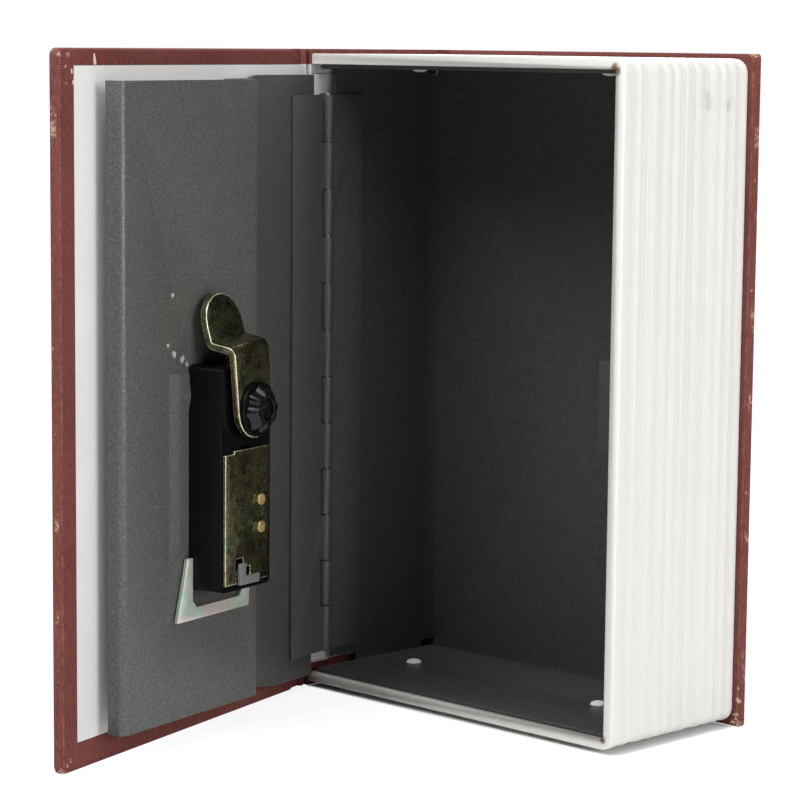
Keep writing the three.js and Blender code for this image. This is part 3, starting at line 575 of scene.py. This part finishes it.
def zinc_plate(name, tones, soil, soiled, metal):
    """Zinc plate with a chromate film that turns green and pink from place to place.

    The last two say how soiled it is and how metallic it looks, from 0 to 1.
    """
    zinc = Finish(name, tones[1], 0.3, metal)
    film = zinc.noise(110, 2 + 3 * soiled, 0.65)
    fine = zinc.noise(1100, 4, 0.65)
    blots = zinc.noise(330, 4, 0.6)
    colour = zinc.ramp(film, tuple(zip(FILM_STEPS, tones)))
    colour = zinc.mixed(zinc.remap(blots, 0.48, 0.66, 0, 0.75 * soiled), colour, soil)
    zinc.coloured(zinc.mixed(zinc.remap(fine, 0.5, 0.72, 0, 0.5 * soiled), colour, soil))
    zinc.roughened(zinc.remap(fine, 0.3, 0.7, 0.34 - 0.16 * soiled, 0.34))
    zinc.bumped(fine, 0.02 * MM * soiled, 0.7)
    return zinc.material


def dark_steel():
    """Oiled steel of the spindle, dark from handling."""
    steel = Finish("dark_steel", SPINDLE_TONES[1], 0.4, 0.9)
    worn = steel.noise(700, 3)
    steel.toned(worn, 0.35, 0.7, SPINDLE_TONES)
    steel.roughened(steel.remap(worn, 0.3, 0.7, 0.3, 0.5))
    return steel.material


def brass():
    """Turned brass, rubbed bright in places."""
    metal = Finish("brass_yellow", BRASS_TONES[1], 0.24, 0.75)
    rubbed = metal.noise(900, 3)
    metal.toned(rubbed, 0.3, 0.7, BRASS_TONES)
    metal.roughened(metal.remap(rubbed, 0.3, 0.7, 0.22, 0.4))
    return metal.material


def grey_moulding():
    """Pale grey plastic of the reset lever."""
    grey = Finish("pale_grey_moulding", LEVER_TONES[0], 0.45)
    fine = grey.noise(1200, 3)
    grey.toned(fine, 0.3, 0.7, LEVER_TONES)
    grey.bumped(fine, 0.01 * MM)
    return grey.material


def white_ink():
    """White filling of the dials' digits."""
    ink = Finish("dial_white", INK_TONES[1], 0.5)
    fine = ink.noise(1600, 3)
    ink.toned(fine, 0.3, 0.7, INK_TONES)
    return ink.material


# Pieces. Points closer than the reach are one, and faces that turn less than the flat turn are one face.
MERGE_REACH = 0.002 * MM
FLAT_TURN = math.radians(0.6)


def alone(piece):
    """Selects one piece and nothing else."""
    bpy.ops.object.select_all(action="DESELECT")
    piece.select_set(True)
    bpy.context.view_layer.objects.active = piece


def copied(node):
    """A copy of a CAD node with its loose triangles merged into clean flat faces."""
    alone(frame["nodes"][node])
    bpy.ops.object.duplicate()
    piece = bpy.context.active_object
    piece.name = node + "_finished"
    piece.parent = None
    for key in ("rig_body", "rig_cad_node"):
        if key in piece:
            del piece[key]
    bpy.ops.object.mode_set(mode="EDIT")
    bpy.ops.mesh.select_all(action="SELECT")
    bpy.ops.mesh.remove_doubles(threshold=MERGE_REACH)
    bpy.ops.mesh.dissolve_limited(angle_limit=FLAT_TURN)
    bpy.ops.object.mode_set(mode="OBJECT")
    return piece


def bevelled(piece, width, segments, turn, finish):
    """Rounds the edges that turn more than this many degrees, and gives them one of the finishes."""
    modifier = piece.modifiers.new("edges", "BEVEL")
    modifier.width = width * MM
    modifier.segments = segments
    modifier.limit_method = "ANGLE"
    modifier.angle_limit = math.radians(turn)
    modifier.material = finish
    alone(piece)
    bpy.ops.object.modifier_apply(modifier=modifier.name)


def smoothed(piece, turn):
    """Shades a piece smoothly, but not over edges that turn more than this many degrees."""
    alone(piece)
    bpy.ops.object.shade_smooth_by_angle(angle=math.radians(turn))


# The covers' rounding in millimetres, and how many cuts give it its points
FRONT_CORNER = 2.0
BACK_CORNER = 1.0
COVER_EDGE = 0.9
COVER_CUTS = 7
COVER_TURN = 40


class CoverShape:
    """The outline of one cover, and where its points go once its corners and edges are rounded."""

    def __init__(self, node, along, facing, corner):
        self.corner = corner
        self.along = along
        self.facing = facing
        mesh = frame["nodes"][node].data
        runs = [along.dot(vertex.co) / MM for vertex in mesh.vertices]
        depths = [facing.dot(vertex.co) / MM for vertex in mesh.vertices]
        self.end = max(runs)
        self.middle = (min(depths) + max(depths)) / 2
        self.half = (max(depths) - min(depths)) / 2
        self.height = BOOK_HEIGHT / MM

    def cuts(self):
        """Planes to cut at, so that the rounded forms have points to bend by."""
        up = Vector((0, 0, 1))
        for step in range(1, COVER_CUTS + 1):
            inset = self.corner * step / COVER_CUTS
            yield self.along, self.end - inset
            yield up, inset
            yield up, self.height - inset
        for step in range(1, COVER_CUTS + 1):
            inset = COVER_EDGE * step / COVER_CUTS
            yield self.facing, self.middle - self.half + inset
            yield self.facing, self.middle + self.half - inset

    def rounded(self, place):
        """Turns the square corners of the outline and of the edge's section into round ones."""
        run = self.along.dot(place) / MM
        depth = self.facing.dot(place) / MM - self.middle
        height = place.z / MM
        centre = Vector((self.end - self.corner, min(max(height, self.corner), self.height - self.corner)))
        beyond = Vector((max(run - centre.x, 0), height - centre.y))
        reach = max(beyond.x, abs(beyond.y))
        if reach <= 0:
            return place
        out = max(reach - (self.corner - COVER_EDGE), 0)
        thick = max(abs(depth) - (self.half - COVER_EDGE), 0)
        if out > 0 and thick > 0:
            share = max(out, thick) / math.hypot(out, thick)
            reach += out * (share - 1)
            depth = math.copysign(abs(depth) + thick * (share - 1), depth)
        drawn = beyond.normalized() * reach
        run += drawn.x - beyond.x
        height += drawn.y - beyond.y
        level = self.along * run + self.facing * (depth + self.middle)
        return Vector((level.x, level.y, height)) * MM


def rounded_cover(node, shape, material):
    """A cover's cloth or board with the worn, rounded outline that the shape gives."""
    piece = copied(node)
    bpy.ops.object.mode_set(mode="EDIT")
    for direction, distance in shape.cuts():
        bpy.ops.mesh.select_all(action="SELECT")
        bpy.ops.mesh.bisect(plane_co=direction * distance * MM, plane_no=direction)
    bpy.ops.object.mode_set(mode="OBJECT")
    for vertex in piece.data.vertices:
        vertex.co = shape.rounded(vertex.co)
    smoothed(piece, COVER_TURN)
    even = piece.modifiers.new("even", "WEIGHTED_NORMAL")
    even.keep_sharp = True
    alone(piece)
    bpy.ops.object.modifier_apply(modifier=even.name)
    painted(piece, material)
    stands_for(piece, node)


def painted(piece, material):
    """Gives a piece one material."""
    piece.data.materials.clear()
    piece.data.materials.append(material)


def stands_for(piece, node):
    """Puts a piece in the place of a CAD node, on the same body."""
    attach(piece, BODY_OF[node])
    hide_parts(node)


# How a piece's edges are rounded: the width in millimetres, the segments, and the least turn in degrees of
# an edge that is rounded. Numbered pieces share one line.
EDGES = {
    "spine_cloth": (0.3, 3, 32), "front_joint_cloth": (0.2, 2, 32), "spine_board": (0.2, 2, 32),
    "back_endpaper": (0.08, 2, 32), "front_endpaper": (0.08, 2, 32), "spine_liner": (0.08, 2, 32),
    "frame_peg": (0.1, 2, 50), "door_panel": (0.22, 2, 50), "steel_box": (0.18, 2, 50),
    "strike_tab": (0.15, 2, 50), "hinge_box_leaf": (0.12, 2, 50), "hinge_door_leaf": (0.12, 2, 50),
    "hinge_pin": (0.1, 2, 32), "lock_body": (0.35, 3, 50), "thumb_knob": (0.25, 3, 50),
    "cam_washer": (0.15, 2, 32), "cam_nut": (0.35, 3, 60), "cam_lever": (0.22, 3, 50),
    "cam_spindle": (0.1, 2, 32), "lock_backplate": (0.12, 2, 50), "lock_retaining_clip": (0.15, 2, 50),
    "backplate_rivet": (0.25, 3, 50), "reset_lever": (0.12, 2, 32), "dial_axle": (0.1, 2, 32),
    "locking_bar": (0.1, 2, 32), "detent_spring": (0.1, 2, 32), "dial": (0.2, 2, 60),
    "code_sleeve": (0.1, 2, 60),
}
SMOOTH_TURN = 38

# Which of a piece's materials its rounded edges get: the face's own, or the second one, which is the rim's
OWN_FINISH = -1
RIM_FINISH = 1


def softened(node, material, rim=None):
    """The CAD node's shape with rounded edges, in place of the node.

    The rounded edges may have a finish of their own, such as a painted highlight along the rim.
    """
    width, segments, turn = EDGES[node.rstrip("_0123456789")]
    piece = copied(node)
    painted(piece, material)
    if rim:
        piece.data.materials.append(rim)
    bevelled(piece, width, segments, turn, RIM_FINISH if rim else OWN_FINISH)
    smoothed(piece, SMOOTH_TURN)
    stands_for(piece, node)


# The grooves between leaves, in millimetres, and the block's own sizes beside them
PAGE_GROOVES = 62
GROOVE_DEPTH = 0.08
GROOVE_HALF = 0.12
PAGE_START = 3.9
PAGE_DEPTH = 49.6
PAGE_CORNER = 4
PAGE_WALL = 2.85
WALL_MARGIN = 0.2
PAGE_SEED = 7
PAGE_TURN = 50

# Where a groove may lie in its step, and how deep it may be, as shares
GROOVE_PLACES = (0.25, 0.75)
GROOVE_DEPTHS = (0.35, 1)


def sunk_in(vertex, depth):
    """Moves a vertex of the page block's outside straight in, and leaves its inside alone."""
    wall = (PAGE_WALL - WALL_MARGIN) * MM
    place = vertex.co
    if block_low.z + wall < place.z < block_high.z - wall and place.x < block_high.x - wall:
        return
    corner = Vector((min(place.x, block_high.x - PAGE_CORNER * MM), 0,
                     min(max(place.z, block_low.z + PAGE_CORNER * MM), block_high.z - PAGE_CORNER * MM)))
    away = Vector((place.x, 0, place.z)) - corner
    if place.x < block_high.x - PAGE_CORNER * MM:
        away = Vector((0, 0, away.z))
    vertex.co -= away.normalized() * depth


def cut_groove(piece, middle, depth):
    """Cuts the two sides of a groove and then its middle line, and sinks that line."""
    for offset in (-GROOVE_HALF, GROOVE_HALF, 0):
        bpy.ops.mesh.select_all(action="SELECT")
        bpy.ops.mesh.bisect(plane_co=BOOK + Vector((0, middle + offset, 0)) * MM, plane_no=(0, 1, 0))
    mesh = bmesh.from_edit_mesh(piece.data)
    for vertex in mesh.verts:
        if vertex.select:
            sunk_in(vertex, depth)
    bmesh.update_edit_mesh(piece.data)


def page_leaves():
    """The page block with fine grooves cut between its waves, as between leaves of a book."""
    piece = copied("page_block_frame")
    draw = random.Random(PAGE_SEED)
    bpy.ops.object.mode_set(mode="EDIT")
    step = (PAGE_DEPTH - PAGE_START) / PAGE_GROOVES
    for groove in range(PAGE_GROOVES):
        middle = PAGE_START + step * (groove + draw.uniform(*GROOVE_PLACES))
        cut_groove(piece, middle, GROOVE_DEPTH * draw.uniform(*GROOVE_DEPTHS) * MM)
    bpy.ops.object.mode_set(mode="OBJECT")
    smoothed(piece, PAGE_TURN)
    painted(piece, page_plastic())
    stands_for(piece, "page_block_frame")


DIAL_BODIES = ("lower_dial", "middle_dial", "upper_dial")
DIGIT_HEIGHT = 3.3
DIGIT_RADIUS = 8.0
DIGIT_RAISE = 0.06
DIGIT_SMOOTHNESS = 3
DIGITS = 10


def raised_digit(digit, centre, outward):
    """One digit, cut from thin text and stood upright on the rim of a dial."""
    bpy.ops.object.text_add()
    text = bpy.context.active_object
    text.data.body = str(digit)
    text.data.size = DIGIT_HEIGHT * MM
    text.data.align_x = "CENTER"
    text.data.align_y = "CENTER"
    text.data.extrude = DIGIT_RAISE * MM
    text.data.resolution_u = DIGIT_SMOOTHNESS
    alone(text)
    bpy.ops.object.convert(target="MESH")
    up = Vector((0, 0, 1))
    turn = Matrix((up.cross(outward), up, outward)).transposed()
    text.data.transform(Matrix.Translation(centre + outward * DIGIT_RADIUS * MM) @ turn.to_4x4())
    return text


def dial_digits(index, ink):
    """The ten digits round one dial, as one piece."""
    centre = turned(DOOR_PIVOT, DOOR_OPEN, DIAL_ACROSS, DIAL_INWARD, DIAL_HEIGHTS[index])
    digits = []
    for digit in range(DIGITS):
        angle = 2 * math.pi * (digit + 0.5) / DIGITS - DOOR_OPEN
        outward = Vector((math.cos(angle), math.sin(angle), 0))
        digits.append(raised_digit(digit, centre, outward))
    bpy.ops.object.select_all(action="DESELECT")
    for text in digits:
        text.select_set(True)
    bpy.context.view_layer.objects.active = digits[0]
    bpy.ops.object.join()
    piece = bpy.context.active_object
    piece.name = f"dial_digits_{index + 1}"
    painted(piece, ink)
    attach(piece, DIAL_BODIES[index])


# Worn spots of the covers: across, inward and up, then how far each one reaches
FRONT_WEAR = ((114.2, 1.5, 178.3, 1.6), (115.2, 1.5, 175.5, 1.1), (112.2, 1.5, 178.8, 1.2),
              (114.8, 1.5, 171.5, 0.7), (117.2, 0.7, 178.2, 1.8), (114.6, 1.5, 3.2, 1.0),
              (115.8, 1.5, 2.2, 1.0), (117.2, 0.7, 1.0, 2.2))
FRONT_NICKS = ((102.9, 1.5, 178.3, 0.5), (102.8, 1.5, 177.7, 0.65), (102.7, 1.5, 177.1, 0.75),
               (102.6, 1.5, 176.5, 0.8), (102.6, 1.5, 176.0, 0.8), (112.5, 1.5, 174.6, 0.45),
               (112.4, 1.5, 174.1, 0.45), (111.9, 1.5, 171.9, 0.4), (111.9, 1.5, 171.4, 0.4))
BACK_WEAR = ((115.7, 50.2, 0.6, 2.6), (115.0, 49.9, 3.0, 2.2), (114.0, 49.9, 0.8, 1.9),
             (115.6, 50.0, 7.5, 1.7), (115.6, 50.0, 11, 1.1), (115.4, 49.9, 179.5, 1.8),
             (114.2, 49.9, 179.6, 1.5), (115.9, 50.5, 64, 0.7), (115.9, 50.6, 118, 0.6),
             (115.9, 50.8, 147, 0.6))

# Where the paper lining starts on the spine and on the joint, and the way it faces
SPINE_LINING = (-2.9, -0.1)
SPINE_WAY = Vector((1, -0.3, 0)).normalized()
JOINT_LINING = (-0.4, -0.4)
JOINT_WAY = Vector((0.7, 0.7, 0))


def on_leaf(pivot, angle, spots):
    """Spots on a turned leaf, from their sizes in millimetres to places with their reach."""
    return [(turned(pivot, angle, across, deep, height), reach) for across, deep, height, reach in spots]


def dress_book():
    """The cloth, boards and papers of the covers and the spine."""
    cover_way = Vector((math.cos(COVER_OPEN), -math.sin(COVER_OPEN), 0))
    cover_in = Vector((math.sin(COVER_OPEN), math.cos(COVER_OPEN), 0))
    book_way = Vector((1, 0, 0))
    book_in = Vector((0, 1, 0))
    wear = on_leaf(COVER_PIVOT, COVER_OPEN, FRONT_WEAR)
    nicks = on_leaf(COVER_PIVOT, COVER_OPEN, FRONT_NICKS)
    front = bookcloth("bookcloth_front", cover_way, COVER_LENGTH, wear, nicks)
    back = bookcloth("bookcloth_back", book_way, COVER_LENGTH, on_leaf(BOOK, 0, BACK_WEAR))
    spine_start = BOOK + Vector((*SPINE_LINING, 0)) * MM
    spine = bookcloth("bookcloth_spine", book_way, COVER_LENGTH, lining=(SPINE_WAY, spine_start))
    joint_start = COVER_PIVOT + Vector((*JOINT_LINING, 0)) * MM
    joint = bookcloth("bookcloth_joint", cover_way, COVER_LENGTH, lining=(JOINT_WAY, joint_start))
    front_shape = CoverShape("front_cover_cloth", cover_way, cover_in, FRONT_CORNER)
    back_shape = CoverShape("back_cover_cloth", book_way, book_in, BACK_CORNER)
    rounded_cover("front_cover_cloth", front_shape, front)
    rounded_cover("back_cover_cloth", back_shape, back)
    softened("spine_cloth", spine)
    softened("front_joint_cloth", joint)
    board = greyboard()
    paper = endpaper("endpaper")
    rounded_cover("front_cover_board", front_shape, board)
    rounded_cover("back_cover_board", back_shape, board)
    softened("spine_board", board)
    for node in ("back_endpaper", "front_endpaper", "spine_liner"):
        softened(node, paper)


# The door's face, the cut-out for the lock and the lip beside it, in the door's own millimetres
FACE_START = 46.6
CUT_OUT_SIDE = 77.85
CUT_OUT_TOP = 99.8
CUT_OUT_CORNER = 1.7
LIP_START = 51
LIP_END = 9
FACE_LEVEL = 10
LIP_TAPER = 7
LIP_STEPS = 8
LIP_TURN = 40
LIP_SECTION = ((0, -0.1), (0, 0.1), (1.4, 0.2), (3, 0.45), (4.2, 0.6), (5, 0.55), (6.4, 0.28),
               (8.2, 0.02), (8.2, -0.1))

# Points of the lip closer than this are one, and its ends rise only this far above the door's face
SAME_PLACE = 0.01
END_RISE = 0.02


def on_door(piece):
    """Puts a mesh that was drawn in the door's own millimetres in its place."""
    turn = Matrix.Rotation(-DOOR_OPEN, 4, "Z")
    piece.data.transform(Matrix.Translation(DOOR_PIVOT) @ turn @ Matrix.Scale(MM, 4))


def door_lip(paint):
    """The steel pushed up beside and above the lock's cut-out when it was punched."""
    points = len(LIP_SECTION)
    bpy.ops.mesh.primitive_circle_add(vertices=points, radius=1, fill_type="NGON", location=(0, 0, 0))
    piece = bpy.context.active_object
    piece.name = "cut_out_lip"
    for vertex, (out, rise) in zip(piece.data.vertices, LIP_SECTION):
        vertex.co = Vector((CUT_OUT_SIDE + out, FACE_LEVEL + rise, LIP_START))
    alone(piece)
    bpy.ops.object.mode_set(mode="EDIT")
    bpy.ops.mesh.select_all(action="SELECT")
    straight = CUT_OUT_TOP - CUT_OUT_CORNER - LIP_START
    for length in (LIP_TAPER, straight - LIP_TAPER):
        bpy.ops.mesh.extrude_region_move(TRANSFORM_OT_translate={"value": (0, 0, length)})
    corner = (CUT_OUT_SIDE - CUT_OUT_CORNER, FACE_LEVEL, CUT_OUT_TOP - CUT_OUT_CORNER)
    bpy.ops.mesh.spin(steps=LIP_STEPS, angle=math.radians(90), center=corner, axis=(0, -1, 0))
    bpy.ops.mesh.extrude_region_move(TRANSFORM_OT_translate={"value": (-LIP_END, 0, 0)})
    bpy.ops.mesh.select_all(action="SELECT")
    bpy.ops.mesh.remove_doubles(threshold=SAME_PLACE)
    bpy.ops.mesh.normals_make_consistent(inside=False)
    bpy.ops.object.mode_set(mode="OBJECT")
    far_end = CUT_OUT_SIDE - CUT_OUT_CORNER - LIP_END
    for vertex in piece.data.vertices:
        at_end = abs(vertex.co.z - LIP_START) < SAME_PLACE or abs(vertex.co.x - far_end) < SAME_PLACE
        if at_end and vertex.co.y > FACE_LEVEL:
            vertex.co.y = FACE_LEVEL + END_RISE
    on_door(piece)
    smoothed(piece, LIP_TURN)
    painted(piece, paint)
    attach(piece, "door")


# Chips in the door's paint: across, inward and up, then how far each one reaches
CHIPS = ((80.5, 10.5, 101.5, 2.2), (84, 10, 103, 1.9), (78.5, 10.4, 100.2, 1.6), (86.5, 10, 105.5, 1.3),
         (84.5, 10, 118, 1.5))

# The depth of the paint's skin, and how much it sparkles
DOOR_SKIN = 0.07 * MM
DOOR_SPARKLE = 0.6
BOX_SKIN = 0.03 * MM
BOX_SPARKLE = 0.2


def dress_steel():
    """The painted steel of the box and the door, with the hinge."""
    chips = on_leaf(DOOR_PIVOT, DOOR_OPEN, CHIPS)
    door_way = Vector((math.cos(DOOR_OPEN), -math.sin(DOOR_OPEN), 0))
    # The door's plate beyond this step gets painted shade
    step = (door_way, turned(DOOR_PIVOT, DOOR_OPEN, FACE_START, 0, 0))
    door = hammered_paint("door_paint", DOOR_SKIN, DOOR_SPARKLE, 1, chips, step)
    # The box's inside and its hinge leaf are darkened as painted shade
    inside = hammered_paint("box_paint", BOX_SKIN, BOX_SPARKLE, INSIDE_SHADE_TONE)
    leaf = hammered_paint("leaf_paint", BOX_SKIN, BOX_SPARKLE, LEAF_SHADE_TONE)
    softened("door_panel", door)
    softened("steel_box", inside)
    softened("strike_tab", inside)
    softened("hinge_box_leaf", leaf)
    softened("hinge_door_leaf", door)
    softened("hinge_pin", bright_steel())
    door_lip(door)


def dress_lock():
    """The lock's body, cam, dials and small parts."""
    black = black_moulding()
    zinc = zinc_plate("yellow_zinc", YELLOW_TONES, YELLOW_SOIL, 1, 1)
    pale_sheen_zinc = zinc_plate("pale_sheen_zinc", PALE_SHEEN_TONES, PALE_SOIL, 0.12, 0.55)
    highlight_zinc = zinc_plate("edge_highlight_zinc", RIM_HIGHLIGHT_TONES, RIM_SOIL, 0.8, 0.6)
    steel = bright_steel()
    yellow = brass()
    ink = white_ink()
    for node in ("lock_body", "thumb_knob", "cam_washer"):
        softened(node, black)
    softened("cam_nut", oiled_black())
    # The cam and the backplate get pale zinc on their rounded edges, a painted highlight
    for node in ("cam_lever", "lock_backplate"):
        softened(node, zinc, highlight_zinc)
    # The clip's pale zinc is partly a painted reflection of the light
    softened("lock_retaining_clip", pale_sheen_zinc)
    for node in ("backplate_rivet_1", "backplate_rivet_2"):
        softened(node, yellow)
    softened("reset_lever", grey_moulding())
    softened("cam_spindle", dark_steel())
    for node in ("dial_axle", "locking_bar", "detent_spring"):
        softened(node, steel)
    for index in range(len(DIAL_BODIES)):
        softened(f"dial_{index + 1}", black)
        softened(f"code_sleeve_{index + 1}", yellow)
        dial_digits(index, ink)


FRAME_PEGS = 4


def dress_pegs():
    """The white pegs that hold the box in the page block."""
    white = endpaper("peg_white")
    for index in range(FRAME_PEGS):
        softened(f"frame_peg_{index + 1}", white)


# The stage. This is the strength of the light all round.
AMBIENT = 0.04


def add_world():
    """A faint even light all round, and plain white where the camera sees past the floor."""
    world = bpy.data.worlds.new("studio")
    bpy.context.scene.world = world
    world.use_nodes = True
    tree = world.node_tree
    plain = tree.nodes["Background"]
    plain.inputs["Color"].default_value = (1, 1, 1, 1)
    plain.inputs["Strength"].default_value = AMBIENT
    white = tree.nodes.new("ShaderNodeBackground")
    white.inputs["Color"].default_value = (1, 1, 1, 1)
    white.inputs["Strength"].default_value = 1
    rays = tree.nodes.new("ShaderNodeLightPath")
    mix = tree.nodes.new("ShaderNodeMixShader")
    tree.links.new(rays.outputs["Is Camera Ray"], mix.inputs["Fac"])
    tree.links.new(plain.outputs["Background"], mix.inputs[1])
    tree.links.new(white.outputs["Background"], mix.inputs[2])
    tree.links.new(mix.outputs["Shader"], tree.nodes["World Output"].inputs["Surface"])


# The floor's size in metres, and its own tone
FLOOR_SIZE = 12
FLOOR_TONE = (0.86, 0.86, 0.86)

# How much of the floor's white the camera sees, by the distance from the page block: none under the block
FLOOR_WHITE = 1.15
BY_THE_BOOK = 0.3
NEAR_SHARE = 0.75
GAP_REACH = 0.8 * MM
SHADED_REACH = 7 * MM
WHITE_START = 30 * MM
WHITE_REACH = 220 * MM


def add_floor():
    """A floor that reads white to the camera, and less so close by the book, where its shadow shows."""
    bpy.ops.mesh.primitive_plane_add(size=FLOOR_SIZE, location=(0, 0, 0))
    piece = bpy.context.active_object
    piece.name = "floor"
    floor = Finish("pale_floor", FLOOR_TONE, 0.9)
    centre = (block_low + block_high) / 2
    half = (block_high - block_low) / 2
    offset = floor.vectors("SUBTRACT", floor.place, (centre.x, centre.y, 0))["Vector"]
    offset = floor.vectors("ABSOLUTE", offset)["Vector"]
    beyond = floor.vectors("SUBTRACT", offset, (half.x, half.y, 0))["Vector"]
    beyond = floor.vectors("MAXIMUM", beyond)["Vector"]
    away = floor.vectors("LENGTH", beyond)["Value"]
    share = floor.maths("MAXIMUM", floor.remap(away, 0, SHADED_REACH, BY_THE_BOOK, NEAR_SHARE),
                        floor.remap(away, WHITE_START, WHITE_REACH, NEAR_SHARE, 1))
    share = floor.maths("MULTIPLY", share, floor.remap(away, 0, GAP_REACH, 0, 1))
    glow = floor.add("ShaderNodeEmission")
    glow.inputs["Strength"].default_value = FLOOR_WHITE
    rays = floor.add("ShaderNodeLightPath")
    mix = floor.add("ShaderNodeMixShader")
    floor.link(floor.maths("MULTIPLY", rays.outputs["Is Camera Ray"], share), mix.inputs["Fac"])
    floor.link(floor.shader.outputs["BSDF"], mix.inputs[1])
    floor.link(glow.outputs["Emission"], mix.inputs[2])
    floor.link(mix.outputs["Shader"], floor.tree.nodes["Material Output"].inputs["Surface"])
    piece.data.materials.append(floor.material)


# Where the lamps stand and aim, in metres, how wide they are, and their power in watts
LAMP_AIM = Vector((0, 0, 0.09))
KEY_PLACE = Vector((1.45, 0.10, 0.5))
KEY_SIZE = 0.8
KEY_POWER = 13
TOP_PLACE = Vector((0.45, -0.55, 1.4))
TOP_POWER = 9
FRONT_PLACE = Vector((-0.15, -0.9, 1.3))
FRONT_POWER = 19
BACK_PLACE = Vector((-0.7, 1.1, 0.9))
BACK_POWER = 12
FILL_SIZE = 0.9


def add_lamp(name, place, size, power):
    """A round lamp that aims at the book."""
    bpy.ops.object.light_add(type="AREA")
    lamp = bpy.context.active_object
    lamp.name = name
    lamp.location = place
    lamp.rotation_euler = (LAMP_AIM - place).to_track_quat("-Z", "Y").to_euler()
    lamp.data.shape = "DISK"
    lamp.data.size = size
    lamp.data.energy = power


def add_lights():
    """A lamp on the fore-edge's side, one high up in front, one on the cover's side and one behind."""
    add_lamp("key", KEY_PLACE, KEY_SIZE, KEY_POWER)
    add_lamp("top", TOP_PLACE, FILL_SIZE, TOP_POWER)
    add_lamp("front", FRONT_PLACE, FILL_SIZE, FRONT_POWER)
    add_lamp("back", BACK_PLACE, FILL_SIZE, BACK_POWER)


bpy.context.scene.view_settings.view_transform = "Standard"
add_camera()
dress_book()
page_leaves()
dress_steel()
dress_lock()
dress_pegs()
add_world()
add_floor()
add_lights()
